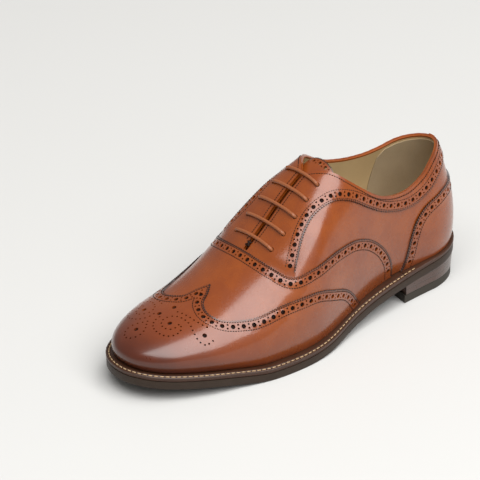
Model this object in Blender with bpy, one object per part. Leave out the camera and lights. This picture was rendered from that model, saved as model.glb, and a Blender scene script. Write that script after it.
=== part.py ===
"""A left wingtip brogue Oxford, built the way a shoemaker builds it: one hollow upper on a last, the panels
laid on it, a welt, outsole, stacked heel and top piece below, an insole and tongue inside, and a lace
in five straight bars. Metres, +Z up, toe towards -Y, outer (lateral) side towards +X, and the origin at
the middle of the heel's floor face.

Every leather piece lies on the last: `turn` goes round it from the heel seam (0) along the lateral side
to the toe (1) and back along the medial side (2), and `up` climbs from the welt (0) to the ridge (1)."""

import bmesh
import bpy
import numpy as np
from mathutils import Vector
from mathutils.geometry import delaunay_2d_cdt

# Driving sizes of the last
LAST_LENGTH = 0.2825
BALL_WIDTH = 0.100
ANKLE_HEIGHT = 0.129
HEEL_LIFT = 0.0198
TOE_SPRING = 0.0111
SWING = -0.003
HEEL_ROUND = 0.036
TOE_ROUND = 0.0555
TOE_SQUARENESS = 2.2
RIDGE_BLEND = 0.012
HEEL_CENTRE = 0.030

# Thicknesses and clearances
GAP = 0.0003
WALL = 0.0015
OVERLAY = 0.0009
WELT = 0.0030
OUTSOLE = 0.0055
TOP_PIECE = 0.0058
INSOLE = 0.0025
TONGUE = 0.0020

# Sole and heel
WELT_REACH = 0.0050
WELT_INSIDE = 0.0110
EDGE_CHAMFER = 0.0006
HEEL_LENGTH = 0.0640
HEEL_TAPER = 0.0012
BREAST_HOLLOW = 0.0030
INSOLE_MARGIN = 0.0012

# Throat, lace and strap
SLIT_WIDTH = 0.0016
SLIT_TURN = 0.588
LACE = 0.0024
LACE_BEND = 0.0019
LACE_TURNS = (0.475, 0.499, 0.523, 0.546, 0.569)
EYELET_UP = 0.832
EYELET_WIDTH = 0.0046
STRAP_WIDTH = 0.0080
TONGUE_DROP = LACE + 2 * GAP

# How finely the faceted solids are made
LATTICE_STEP = 0.0100
LATTICE_UPS = (0.05, 0.12, 0.20, 0.29, 0.38, 0.48, 0.57, 0.66, 0.75, 0.84, 0.93)
EDGE_STEP = 0.0065
HEEL_RUNGS = 10
FORE_RUNGS = 24


def table(columns, *rows):
    """A short table with named columns, a row for each section."""
    return dict(zip(columns.split(), np.array(rows, float).T))


# Half-widths and the tuck under the last are shares of BALL_WIDTH; the rest shape the section's curve
LAST = table(
    "along lateral medial tuck belly low shoulder middle crown",
    (0.00, 0.305, 0.310, 0.010, 1.06, 0.19, 1.02, 0.53, 0.50),
    (0.12, 0.316, 0.318, 0.025, 1.05, 0.20, 1.00, 0.47, 0.42),
    (0.28, 0.337, 0.322, 0.055, 1.04, 0.26, 1.02, 0.63, 0.54),
    (0.42, 0.402, 0.352, 0.040, 1.05, 0.29, 1.01, 0.83, 0.61),
    (0.55, 0.482, 0.450, 0.030, 1.05, 0.32, 1.03, 0.93, 0.66),
    (0.68, 0.490, 0.499, 0.038, 1.04, 0.29, 1.01, 0.74, 0.52),
    (0.80, 0.430, 0.454, 0.037, 1.04, 0.31, 1.00, 0.76, 0.52),
    (0.90, 0.383, 0.393, 0.033, 1.04, 0.34, 1.03, 0.79, 0.59),
    (1.00, 0.362, 0.348, 0.030, 1.04, 0.35, 1.02, 0.81, 0.61),
)
# Height of the ridge, as shares of ANKLE_HEIGHT
RIDGE = table(
    "along height",
    (0.00, 0.988), (0.15, 1.000), (0.30, 0.992), (0.40, 0.938), (0.50, 0.798),
    (0.60, 0.605), (0.70, 0.453), (0.80, 0.359), (0.90, 0.322), (1.00, 0.304),
)
# Height of the sole's underside, as shares of HEEL_LIFT and of TOE_SPRING: flat on the floor under the ball
FLOOR_LINE = table(
    "along heel toe",
    (0.00, 1.00, 0.0), (0.20, 0.74, 0.0), (0.35, 0.50, 0.0), (0.50, 0.10, 0.0), (0.60, 0.0, 0.0),
    (0.70, 0.0, 0.0), (0.85, 0.0, 0.54), (1.00, 0.0, 1.0),
)
# How far the welt stands out past the last, as shares of WELT_REACH
WELT_LINE = table(
    "along reach",
    (0.00, 0.12), (0.12, 0.05), (0.28, 0.40), (0.42, 0.48), (0.55, 0.96), (0.68, 1.00), (0.85, 0.80), (1.00, 0.90),
)

# Edges of the leather pieces: turns on either side at a share up
COLLAR = table(
    "turn lateral medial",
    (0.00, 0.630, 0.630), (0.10, 0.638, 0.616), (0.20, 0.603, 0.605), (0.25, 0.547, 0.585),
    (0.30, 0.497, 0.560), (0.35, 0.494, 0.555), (0.40, 0.578, 0.610), (0.43, 0.690, 0.715),
    (0.452, 0.845, 0.850), (0.463, 0.920, 0.925),
)
FACING_TOP = 0.473
VAMP_EDGE = table(
    "lateral medial up",
    (0.590, 0.590, 1.00), (0.588, 0.588, 0.86), (0.583, 0.583, 0.74), (0.569, 0.569, 0.575), (0.532, 0.532, 0.460),
    (0.476, 0.476, 0.393), (0.428, 0.428, 0.352), (0.390, 0.390, 0.297), (0.360, 0.360, 0.210),
    (0.342, 0.342, 0.100), (0.337, 0.337, 0.000),
)
WING_EDGE = table(
    "lateral medial up",
    (0.660, 0.660, 1.00), (0.678, 0.684, 0.945), (0.704, 0.722, 0.89), (0.712, 0.730, 0.80), (0.700, 0.716, 0.69),
    (0.657, 0.664, 0.560), (0.598, 0.598, 0.478), (0.549, 0.549, 0.360), (0.506, 0.506, 0.258),
    (0.453, 0.453, 0.140), (0.422, 0.422, 0.000),
)
FACING_EDGE = table(
    "lateral medial up",
    (0.561, 0.561, 0.565), (0.549, 0.549, 0.622), (0.526, 0.526, 0.695), (0.505, 0.505, 0.708),
    (0.472, 0.472, 0.658), (0.435, 0.435, 0.562), (0.400, 0.400, 0.478), (0.350, 0.350, 0.410),
    (0.300, 0.300, 0.403), (0.250, 0.250, 0.442), (0.190, 0.190, 0.502), (0.110, 0.110, 0.545),
    (0.000, 0.000, 0.570),
)
COUNTER_EDGE = table(
    "lateral medial up",
    (0.000, 0.000, 0.435), (0.100, 0.100, 0.430), (0.200, 0.200, 0.425), (0.252, 0.252, 0.390),
    (0.283, 0.283, 0.320), (0.300, 0.300, 0.210), (0.306, 0.306, 0.120), (0.314, 0.314, 0.000),
)

# Depths from the last's surface, inwards negative: the panels' faces lie about it, the wing cap stands on them
QUARTER_FACE = -(OVERLAY + GAP)
LINING_FACE = QUARTER_FACE - WALL
TONGUE_FACE = LINING_FACE - TONGUE_DROP
CAP_BACK = GAP
CAP_FACE = GAP + OVERLAY


def row(rows, column, share):
    """A smooth curve through one column of a table."""
    at, values = rows["along"], rows[column]
    slope = np.gradient(values, at)
    i = np.clip(np.searchsorted(at, share) - 1, 0, len(at) - 2)
    span = at[i + 1] - at[i]
    t = np.clip((share - at[i]) / span, 0, 1)
    rise = (3 - 2 * t) * t * t
    ease_out = t * (1 - t) ** 2 * span * slope[i]
    ease_in = t * t * (t - 1) * span * slope[i + 1]
    return values[i] * (1 - rise) + values[i + 1] * rise + ease_out + ease_in


def share_along(turn):
    """Share of the last's length from heel to toe, close-set where the ends turn."""
    return (1 - np.cos(np.pi * turn)) / 2


def share_at(distance):
    """Share of the last's length at a distance from its heel."""
    return np.clip(distance / LAST_LENGTH, 0, 1)


def swing(along):
    return SWING * np.clip((along - 0.3) / 0.7, 0, None) ** 2


def last_line(turn, grow=0.0):
    """The last's widest outline from above, grown outwards: x, and the distance from its heel."""
    def at(turn):
        along = share_along(turn)
        side = np.where(np.mod(turn, 2) <= 1, 1.0, -1.0)
        half = np.where(side > 0, row(LAST, "lateral", along), row(LAST, "medial", along)) * BALL_WIDTH
        heel = np.clip(1 - along * LAST_LENGTH / HEEL_ROUND, 0, 1)
        toe = np.clip(1 - (1 - along) * LAST_LENGTH / TOE_ROUND, 0, 1)
        ends = np.sqrt(1 - heel**2) * (1 - toe**TOE_SQUARENESS) ** (1 / TOE_SQUARENESS)
        return swing(along) + side * half * ends, along * LAST_LENGTH

    step = 1e-4
    x, s = at(turn)
    x0, s0 = at(turn - step)
    x1, s1 = at(turn + step)
    length = np.hypot(x1 - x0, s1 - s0) + 1e-15
    return x + grow * (s1 - s0) / length, s - grow * (x1 - x0) / length


def spine_line(turn):
    """The line under the ridge from which every section fans out."""
    s = share_along(turn) * LAST_LENGTH
    low, high = HEEL_ROUND, LAST_LENGTH - TOE_ROUND
    s = (s + low + np.hypot(s - low, RIDGE_BLEND)) / 2
    s = (s + high - np.hypot(high - s, RIDGE_BLEND)) / 2
    return swing(s / LAST_LENGTH), s


def floor_line(along):
    """Height of the sole's underside: heel lift, flat tread, toe spring."""
    heel = row(FLOOR_LINE, "heel", along) * HEEL_LIFT
    toe = row(FLOOR_LINE, "toe", along) * TOE_SPRING
    return np.maximum(heel + toe, 0.0)


def feather_line(along):
    """Height of the welt's top, where the upper meets it."""
    return floor_line(along) + OUTSOLE + GAP + WELT


def section_point(turn, up):
    """A point of the last's skin: a five-point Bezier section from the feather edge to the ridge."""
    along = share_along(turn)
    edge_x, edge_s = last_line(turn)
    ridge_x, ridge_s = spine_line(turn)
    reach = np.hypot(edge_x - ridge_x, edge_s - ridge_s)
    tuck = row(LAST, "tuck", along) * BALL_WIDTH / np.maximum(reach, 0.008)
    down = 1 - up
    feather, low, middle, high, ridge = down**4, 4 * up * down**3, 6 * up**2 * down**2, 4 * up**3 * down, up**4
    out = (feather * (1 - tuck) + low * row(LAST, "belly", along) + middle * row(LAST, "shoulder", along)
           + high * row(LAST, "crown", along))
    rise = low * row(LAST, "low", along) + middle * row(LAST, "middle", along) + high + ridge
    x = ridge_x + (edge_x - ridge_x) * out
    s = ridge_s + (edge_s - ridge_s) * out
    base = feather_line(along) + GAP
    top = row(RIDGE, "height", s / LAST_LENGTH) * ANKLE_HEIGHT
    return np.stack([x, HEEL_CENTRE - s, base + (top - base) * rise], -1)


def skin_normal(turn, up):
    """Outward unit normal, averaged with the other side's where the two sides meet on the ridge."""
    def raw(turn, up):
        step = 1e-3
        across = section_point(turn + step, up) - section_point(turn - step, up)
        climb = section_point(turn, np.minimum(up + step, 1)) - section_point(turn, np.maximum(up - step, 0))
        normal = np.cross(climb, across)
        return normal / np.linalg.norm(normal, axis=-1, keepdims=True)

    near_ridge = 0.97
    share = np.clip((up - near_ridge) / (1 - near_ridge), 0, 1)[..., None] / 2
    low = np.minimum(up, near_ridge)
    normal = raw(turn, low) * (1 - share) + raw(2 - turn, low) * share
    return normal / np.linalg.norm(normal, axis=-1, keepdims=True)


def skin_point(turn, up, depth=0.0):
    """A point off the last's skin by `depth`, outwards positive."""
    turn, up, depth = np.broadcast_arrays(np.asarray(turn, float), np.asarray(up, float), np.asarray(depth, float))
    return section_point(turn, up) + skin_normal(turn, up) * depth[..., None]


def chart(turn, up):
    """The skin laid out flat, fanned round the spine, for cutting panels."""
    edge_x, edge_s = last_line(turn)
    ridge_x, ridge_s = spine_line(turn)
    return np.stack([edge_x + (ridge_x - edge_x) * up, edge_s + (ridge_s - edge_s) * up], -1)


def up_at_width(turn, width):
    """The share up that lies `width` from the ridge on the chart."""
    edge_x, edge_s = last_line(turn)
    ridge_x, ridge_s = spine_line(turn)
    return 1 - width / np.hypot(edge_x - ridge_x, edge_s - ridge_s)


def running_length(turns, ups):
    """Length over the skin from a line's first point to each of its points."""
    steps = np.diff(section_point(np.asarray(turns, float), np.asarray(ups, float)), axis=0)
    return np.concatenate([[0], np.cumsum(np.linalg.norm(steps, axis=1))])


def resampled(turns, ups, step):
    """Points at even steps over the skin along a dense line."""
    run = running_length(turns, ups)
    count = max(int(round(run[-1] / step)), 1)
    at = np.linspace(0, run[-1], count + 1)
    return np.stack([np.interp(at, run, turns), np.interp(at, run, ups)], -1)


def curve(turns, ups, step=EDGE_STEP):
    """A smooth line through chosen points, as (turn, up) pairs at even steps."""
    run = running_length(turns, ups)
    fine = np.linspace(0, run[-1], 40 * len(turns))
    knots = {"along": run, "turn": np.asarray(turns, float), "up": np.asarray(ups, float)}
    return resampled(row(knots, "turn", fine), row(knots, "up", fine), step)


def other_side(points):
    return np.stack([2 - points[:, 0], points[:, 1]], -1)


def trimmed(line, turn):
    """The part of a lateral line that lies past a turn, cut exactly there."""
    order = np.argsort(line[:, 0])
    cut = (turn, np.interp(turn, *line[order].T))
    rest = line[line[:, 0] > turn + 0.002]
    return np.concatenate([[cut], rest] if line[0, 0] < line[-1, 0] else [rest, [cut]])


def seam(rows, side, step=EDGE_STEP):
    """One side of a panel's edge, in the order of its table."""
    line = curve(rows[side], rows["up"], step)
    return line if side == "lateral" else other_side(line)


def collar(side, start=0.0):
    """The collar's edge on one side, from a turn near the heel to the rounded top of the facing."""
    turns = np.append(COLLAR["turn"], FACING_TOP)
    ups = np.append(COLLAR[side], up_at_width(FACING_TOP, SLIT_WIDTH / 2))
    line = trimmed(curve(turns, ups), start)
    return line if side == "lateral" else other_side(line)


def slit(side, stop=SLIT_TURN, step=EDGE_STEP):
    """The slit's edge on one side, from the facing's top down to the bar tack."""
    turns = np.linspace(FACING_TOP, stop, 30)
    line = resampled(turns, up_at_width(turns, SLIT_WIDTH / 2), step)
    return line if side == "lateral" else other_side(line)


def feather_run(start, stop):
    """A run along the feather edge, through the same points in every piece, with the seams' ends among them."""
    turns = np.linspace(0, 2, 2001)
    turns = resampled(turns, np.zeros(2001), EDGE_STEP)[:-1, 0]
    ends = np.array([rows[side][-1] for rows in (VAMP_EDGE, WING_EDGE, COUNTER_EDGE) for side in ("lateral", "medial")])
    ends[1::2] = 2 - ends[1::2]
    turns = turns[np.abs(turns[:, None] - ends).min(axis=1) > 0.006]
    turns = np.sort(np.concatenate([turns, ends]))
    turns = np.concatenate([turns, turns + 2])
    turns = turns[(turns > start - 1e-6) & (turns < stop + 1e-6)]
    return np.stack([turns, np.zeros(len(turns))], -1)


def joined(*runs):
    """Runs end to end as one loop, with shared ends once."""
    points = np.concatenate(runs)
    flat = chart(*points.T)
    apart = np.hypot(*(flat - np.roll(flat, 1, axis=0)).T) > 1e-5
    return points[apart]


def eyelet(turn, width=EYELET_WIDTH, sides=8):
    """An eyelet's hole: a ring on the skin, sized in true millimetres."""
    centre = np.array([turn, EYELET_UP])
    small = 1e-3
    middle = skin_point(*centre)
    per_turn = np.linalg.norm(skin_point(centre[0] + small, centre[1]) - middle) / small
    per_up = np.linalg.norm(skin_point(centre[0], centre[1] + small) - middle) / small
    angles = np.arange(sides) * 2 * np.pi / sides
    return centre + width / 2 * np.stack([np.cos(angles) / per_turn, np.sin(angles) / per_up], -1)


def spot_at(flat, guess):
    """The (turn, up) of a chart point, by Newton's steps from a guess nearby."""
    small = 1e-5
    spot = np.array(guess, float)
    for _ in range(12):
        here = chart(*spot)
        slopes = np.stack([(chart(spot[0] + small, spot[1]) - here) / small,
                           (chart(spot[0], spot[1] + small) - here) / small], -1)
        spot -= np.linalg.lstsq(slopes, here - flat, rcond=None)[0]
    return spot


def inside(points, loop):
    """Which points lie inside a loop, by counting crossings."""
    x, y = points[:, 0, None], points[:, 1, None]
    x0, y0 = loop.T
    x1, y1 = np.roll(loop, -1, axis=0).T
    with np.errstate(divide="ignore", invalid="ignore"):
        crossing = ((y0 > y) != (y1 > y)) & (x < (x1 - x0) * (y - y0) / (y1 - y0) + x0)
    return crossing.sum(axis=1) % 2 == 1


def distance_to(points, loop):
    """Distance from each point to a loop's nearest side."""
    start, end = loop, np.roll(loop, -1, axis=0)
    along = end - start
    share = ((points[:, None] - start) * along).sum(-1) / (along**2).sum(-1)
    nearest = start + along * np.clip(share, 0, 1)[..., None]
    return np.hypot(*np.moveaxis(points[:, None] - nearest, -1, 0)).min(axis=1)


def lattice():
    """Points spread evenly over the whole skin, shared by every panel so that their facets run parallel."""
    turns = np.linspace(0, 2, 2001)
    rows = [resampled(turns, np.full(2001, up), LATTICE_STEP)[:-1] for up in LATTICE_UPS]
    ridge = np.linspace(0, 1, 1001)
    rows.append(resampled(ridge, np.ones(1001), LATTICE_STEP))
    return np.concatenate(rows)


def finish(obj, colour, roughness, smooth_angle=40):
    material = bpy.data.materials.new(obj.name)
    material.use_nodes = True
    shader = material.node_tree.nodes["Principled BSDF"]
    shader.inputs["Base Color"].default_value = (*colour, 1)
    shader.inputs["Roughness"].default_value = roughness
    shader.inputs["Metallic"].default_value = 0.0
    obj.data.materials.append(material)
    if obj.type == "MESH":
        obj.data.shade_smooth()
        obj.data.set_sharp_from_angle(angle=np.radians(smooth_angle))
    return obj


def mesh_object(name, bm):
    bmesh.ops.remove_doubles(bm, verts=bm.verts, dist=1e-6)
    bmesh.ops.recalc_face_normals(bm, faces=bm.faces)
    mesh = bpy.data.meshes.new(name)
    bm.to_mesh(mesh)
    bm.free()
    obj = bpy.data.objects.new(name, mesh)
    bpy.context.collection.objects.link(obj)
    return obj


def leather(name, edge, holes, low, high, creases=()):
    """A panel of leather between two depths: its outline, its holes, and the edges of panels laid over it."""
    loops = [edge, *holes]
    flat_loops = [chart(*loop.T) for loop in loops]
    grid = lattice()
    flat_grid = chart(*grid.T)
    clear = EDGE_STEP * 0.35
    keep = inside(flat_grid, flat_loops[0]) & (distance_to(flat_grid, flat_loops[0]) > clear)
    for loop in flat_loops[1:]:
        keep &= ~inside(flat_grid, loop) & (distance_to(flat_grid, loop) > clear)
    for crease in creases:
        keep &= distance_to(flat_grid, chart(*np.concatenate([crease, crease[-2:0:-1]]).T)) > clear
    spots = np.concatenate([*loops, *creases, grid[keep]])
    rings, first = [], 0
    for loop in flat_loops:
        ring = list(range(first, first + len(loop)))
        x, y = loop.T
        turned = (x * np.roll(y, -1) - np.roll(x, -1) * y).sum() > 0
        rings.append(ring if turned else ring[::-1])
        first += len(loop)
    folds = []
    for crease in creases:
        folds += [(i, i + 1) for i in range(first, first + len(crease) - 1)]
        first += len(crease)
    flat = chart(*spots.T)
    points, _, faces, sources, _, parents = delaunay_2d_cdt([Vector(p) for p in flat], folds, rings, 0, 1e-7)
    known = spots
    spots = []
    for point, source in zip(points, sources):
        nearest = source[0] if source else np.hypot(*(flat - point).T).argmin()
        spots.append(known[nearest] if source else spot_at(np.array(point), known[nearest]))
    spots = np.array(spots)
    faces = [face for face, parent in zip(faces, parents) if parent == [0]]

    bm = bmesh.new()
    mark = bm.verts.layers.int.new("spot")
    verts = [bm.verts.new() for _ in spots]
    for i, vert in enumerate(verts):
        vert[mark] = i
    for face in faces:
        bm.faces.new([verts[i] for i in face])
    bmesh.ops.delete(bm, geom=[vert for vert in bm.verts if not vert.link_faces], context="VERTS")
    raised = bmesh.ops.extrude_face_region(bm, geom=bm.faces[:])["geom"]
    upper_verts = {item for item in raised if isinstance(item, bmesh.types.BMVert)}
    turn, up = spots.T
    bottom = skin_point(turn, up, low(turn, up) if callable(low) else low)
    top = skin_point(turn, up, high(turn, up) if callable(high) else high)
    for face in (bottom, top):
        seat = feather_line(share_at(HEEL_CENTRE - face[:, 1])) + GAP
        face[:, 2] = np.maximum(face[:, 2], seat)
    for vert in bm.verts:
        vert.co = (top if vert in upper_verts else bottom)[vert[mark]]
    return mesh_object(name, bm)


def sole_line(turn, inset=0.0):
    """The welt's outer edge from above, drawn in by `inset`."""
    return last_line(turn, row(WELT_LINE, "reach", share_along(turn)) * WELT_REACH - inset)


def insole_line(turn, inset=0.0):
    """The insole's edge: inside the tucked wall of the upper."""
    tuck = row(LAST, "tuck", share_along(turn)) * BALL_WIDTH
    return last_line(turn, LINING_FACE - tuck - INSOLE_MARGIN - inset)


def slab(name, line, stop, levels, columns=2, hollow=0.0):
    """A plate under the foot, from the heel to `stop`, through levels of (height, inset) from bottom to top."""
    turns = np.linspace(0, breast_turn(), HEEL_RUNGS + 1)
    if stop > turns[-1]:
        turns = np.concatenate([turns[:-1], np.linspace(turns[-1], stop, FORE_RUNGS + 1)])
    across = np.linspace(0, 1, columns + 1)
    grids = []
    for height, inset in levels:
        near = np.stack(line(turns, inset), -1)[:, None]
        far = np.stack(line(2 - turns, inset), -1)[:, None]
        flat = near + (far - near) * across[None, :, None]
        flat[-1, :, 1] -= hollow * 4 * across * (1 - across)
        grids.append(np.stack([flat[..., 0], HEEL_CENTRE - flat[..., 1], height(share_at(flat[..., 1]))], -1))
    bm = bmesh.new()
    verts = [[[bm.verts.new(point) for point in rung] for rung in grid] for grid in grids]

    def ring(grid):
        near = [rung[0] for rung in grid]
        far = [rung[-1] for rung in grid[::-1]]
        return near + grid[-1][1:-1] + far + grid[0][-2:0:-1]

    for lower, higher in zip(verts, verts[1:]):
        a, b = ring(lower), ring(higher)
        for i in range(len(a)):
            bm.faces.new((a[i - 1], a[i], b[i], b[i - 1]))
    for grid in (verts[0], verts[-1]):
        for one, two in zip(grid, grid[1:]):
            for j in range(columns):
                bm.faces.new((one[j], one[j + 1], two[j + 1], two[j]))
    return mesh_object(name, bm)


def strip(name, start, stop, corners):
    """A strip under the feather edge from one turn to another, with corners of (inset, height)."""
    turns = np.linspace(start, stop, int(2 * FORE_RUNGS * (stop - start)))
    rings = []
    for inset, height in corners:
        x, s = sole_line(turns, inset)
        rings.append(np.stack([x, HEEL_CENTRE - s, height(share_at(s))], -1))
    bm = bmesh.new()
    verts = [[bm.verts.new(point) for point in section] for section in np.stack(rings, 1)]
    for one, two in zip(verts, verts[1:]):
        for j in range(len(corners)):
            bm.faces.new((one[j - 1], one[j], two[j], two[j - 1]))
    bm.faces.new(verts[0])
    bm.faces.new(verts[-1])
    return mesh_object(name, bm)


def lace_bar(name, turn):
    """A straight bar of waxed lace over the facings, its ends turned down into the two eyelets."""
    over = LACE / 2 + GAP
    ends = []
    for side in (turn, 2 - turn):
        hole = skin_point(side, EYELET_UP)
        out = skin_normal(np.array(side), np.array(EYELET_UP))
        inwards = skin_point(side, EYELET_UP + 0.01) - hole
        inwards /= np.linalg.norm(inwards)
        middle = hole + out * (over - LACE_BEND) + inwards * LACE_BEND
        angles = np.radians([75, 45, 15])
        bend = [middle + LACE_BEND * (out * np.cos(a) - inwards * np.sin(a)) for a in angles]
        foot = hole + out * (TONGUE_FACE + 2 * GAP)
        low = hole + out * (over - LACE_BEND - 0.0006)
        ends.append([foot, low, *bend])
    ups = np.linspace(EYELET_UP, 1, 6)[1:] + 0.012
    ups[-1] = 1.0
    near = list(skin_point(turn, ups, over))
    far = list(skin_point(2 - turn, ups, over))[-2::-1]
    points = ends[0] + near + far + ends[1][::-1]
    data = bpy.data.curves.new(name, "CURVE")
    data.dimensions = "3D"
    data.bevel_depth = LACE / 2
    data.bevel_resolution = 2
    data.use_fill_caps = True
    spline = data.splines.new("POLY")
    spline.points.add(len(points) - 1)
    for target, point in zip(spline.points, points):
        target.co = (*point, 1)
    obj = bpy.data.objects.new(name, data)
    bpy.context.collection.objects.link(obj)
    return obj


def upper():
    """Quarters and lining as one hollow wall, open at collar and slit, and below where the insole closes it."""
    top = joined(collar("lateral"), slit("lateral"), slit("medial")[::-1], collar("medial")[::-1])
    holes = [top]
    for turn in LACE_TURNS:
        holes += [eyelet(turn), other_side(eyelet(turn))]
    strap = strap_turn(0.0)
    low, high = strap_ends()
    creases = [resampled(np.full(9, turn), np.linspace(low, high - 0.01, 9), EDGE_STEP)
               for turn in (strap, 2 - strap)]
    for rows in (VAMP_EDGE, WING_EDGE, COUNTER_EDGE):
        creases += [seam(rows, "lateral"), seam(rows, "medial")]
    for side in ("lateral", "medial"):
        creases.append(seam(FACING_EDGE, side)[1:])
    return leather("upper", feather_run(0, 1.999), holes, LINING_FACE, QUARTER_FACE, creases)


def vamp():
    edge = joined(feather_run(VAMP_EDGE["lateral"][-1], 2 - VAMP_EDGE["medial"][-1]),
                  seam(VAMP_EDGE, "medial")[::-1], seam(VAMP_EDGE, "lateral"))
    creases = [seam(WING_EDGE, "lateral"), seam(WING_EDGE, "medial")]
    return leather("vamp", edge, [], QUARTER_FACE + GAP, 0.0, creases)


def wing_cap():
    edge = joined(feather_run(WING_EDGE["lateral"][-1], 2 - WING_EDGE["medial"][-1]),
                  seam(WING_EDGE, "medial")[::-1], seam(WING_EDGE, "lateral"))
    return leather("wing_cap", edge, [], CAP_BACK, CAP_FACE)


def facing(side):
    """A facing with its collar band, from the slit round to the strap at the back seam."""
    clear = 2 * GAP / LAST_LENGTH
    strap = strap_turn()
    front = seam(VAMP_EDGE, "lateral") - (clear, 0)
    lower = trimmed(seam(FACING_EDGE, "lateral"), strap)
    lower[0, 0] = np.interp(-lower[0, 1], -front[:, 1], front[:, 0])
    front = front[front[:, 1] > lower[0, 1] + 0.02]
    front[0, 1] = up_at_width(front[0, 0], SLIT_WIDTH / 2)
    rim = collar("lateral", strap)
    back = resampled(np.full(9, strap), np.linspace(lower[-1, 1], rim[0, 1], 9), EDGE_STEP)
    edge = joined(back, rim, slit("lateral", front[0, 0]), front, lower)
    if side == "medial":
        front, lower, back = other_side(front), other_side(lower), other_side(back)
        rim = collar("medial", strap)
        back[-1] = rim[0]
        edge = joined(back, rim, slit("medial", 2 - front[0, 0]), front, lower)
    holes = [eyelet(turn) if side == "lateral" else other_side(eyelet(turn)) for turn in LACE_TURNS]
    return leather("facing_" + side, edge, holes, QUARTER_FACE + GAP, 0.0)


def strap_turn(extra=2 * GAP):
    """The turn at which the back strap's side lies, with room beside it."""
    turns = np.linspace(0.001, 0.1, 400)
    return float(np.interp(STRAP_WIDTH / 2 + extra, last_line(turns)[0], turns))


def strap_ends():
    """The shares up where the strap starts, just over the counter, and where it ends at the collar."""
    return COUNTER_EDGE["up"][0] + 0.008, COLLAR["lateral"][0]


def back_strap():
    """The strap over the back seam, from the collar down to the counter."""
    half = strap_turn(0.0)
    low, high = strap_ends()
    bottom = resampled(np.linspace(2 - half, 2 + half, 60), np.full(60, low), EDGE_STEP / 2)
    top = resampled(np.linspace(2 + half, 2 - half, 60), np.full(60, high), EDGE_STEP / 2)
    right = resampled(np.full(60, 2 + half), np.linspace(low, high, 60), EDGE_STEP)
    left = resampled(np.full(60, 2 - half), np.linspace(high, low, 60), EDGE_STEP)
    return leather("back_strap", joined(bottom, right, top, left), [], QUARTER_FACE + GAP, 0.0)


def counter():
    edge = joined(feather_run(2 - COUNTER_EDGE["medial"][-1], 2 + COUNTER_EDGE["lateral"][-1]),
                  np.array([[2, 0]]) + seam(COUNTER_EDGE, "lateral")[::-1],
                  seam(COUNTER_EDGE, "medial"))
    return leather("counter", edge, [], QUARTER_FACE + GAP, 0.0)


def tongue():
    """The tongue: sewn in at the slit's foot, then a lace's thickness under the facings, and out above them."""
    front, back = 0.612, 0.440
    side_up = 0.60
    near = curve((front, 0.60, 0.56, 0.50, 0.452, back), (0.90, 0.80, 0.66, side_up, side_up, 0.70))
    top = curve((back, 0.4385, 0.438), (0.70, 0.86, 1.0))
    tip = curve((front + 0.004, front), (1.0, 0.90))

    def face(turn, up):
        """Rises to the lining at the front, where it is sewn."""
        turn = np.where(turn > 1, 2 - turn, turn)
        share = np.clip((turn - (SLIT_TURN - 0.004)) / 0.022, 0, 1)
        return TONGUE_FACE + (LINING_FACE - GAP - TONGUE_FACE) * share * share * (3 - 2 * share)

    half = np.concatenate([tip, near, top])
    edge = joined(half, other_side(half[::-1]))
    return leather("tongue", edge, [], lambda turn, up: face(turn, up) - TONGUE, face)


def breast_turn(clear=0.0):
    """The turn at which the heel's front face lies."""
    return float(np.arccos(1 - 2 * (HEEL_LENGTH + clear) / LAST_LENGTH) / np.pi)


def outsole():
    chamfer = EDGE_CHAMFER
    return slab("outsole", sole_line, 1.0, (
        (floor_line, 2 * chamfer),
        (lambda along: floor_line(along) + chamfer, chamfer / 2),
        (lambda along: floor_line(along) + OUTSOLE - chamfer, chamfer / 2),
        (lambda along: floor_line(along) + OUTSOLE, chamfer),
    ))


def welt_corners():
    low = lambda along: floor_line(along) + OUTSOLE + GAP
    return (
        (WELT_INSIDE, low),
        (EDGE_CHAMFER, low),
        (0.0, lambda along: low(along) + EDGE_CHAMFER),
        (0.0, lambda along: low(along) + WELT - EDGE_CHAMFER),
        (EDGE_CHAMFER, lambda along: low(along) + WELT),
        (WELT_INSIDE, lambda along: low(along) + WELT),
    )


def heel_stack():
    base = TOP_PIECE + GAP
    return slab("heel_stack", sole_line, breast_turn(), (
        (lambda along: np.full_like(along, base), HEEL_TAPER + EDGE_CHAMFER),
        (lambda along: (base + floor_line(along) - GAP) / 2, HEEL_TAPER / 2 + EDGE_CHAMFER),
        (lambda along: floor_line(along) - GAP, EDGE_CHAMFER),
    ), columns=4, hollow=-BREAST_HOLLOW)


def top_piece():
    inset = HEEL_TAPER + EDGE_CHAMFER
    return slab("top_piece", sole_line, breast_turn(), (
        (lambda along: np.zeros_like(along), inset + EDGE_CHAMFER),
        (lambda along: np.full_like(along, EDGE_CHAMFER), inset),
        (lambda along: np.full_like(along, TOP_PIECE), inset),
    ), columns=4, hollow=-BREAST_HOLLOW)


def insole():
    base = lambda along: feather_line(along) + GAP
    return slab("insole", insole_line, 1.0, (
        (base, 0.0),
        (lambda along: base(along) + INSOLE, 0.0),
    ))


TAN = (0.37, 0.095, 0.025)
DARK_TAN = (0.16, 0.04, 0.014)
LINING = (0.45, 0.30, 0.16)
EDGE_BROWN = (0.035, 0.018, 0.012)
HEEL_BROWN = (0.06, 0.022, 0.014)
RUBBER = (0.018, 0.018, 0.016)
LACE_BROWN = (0.20, 0.06, 0.022)


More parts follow.
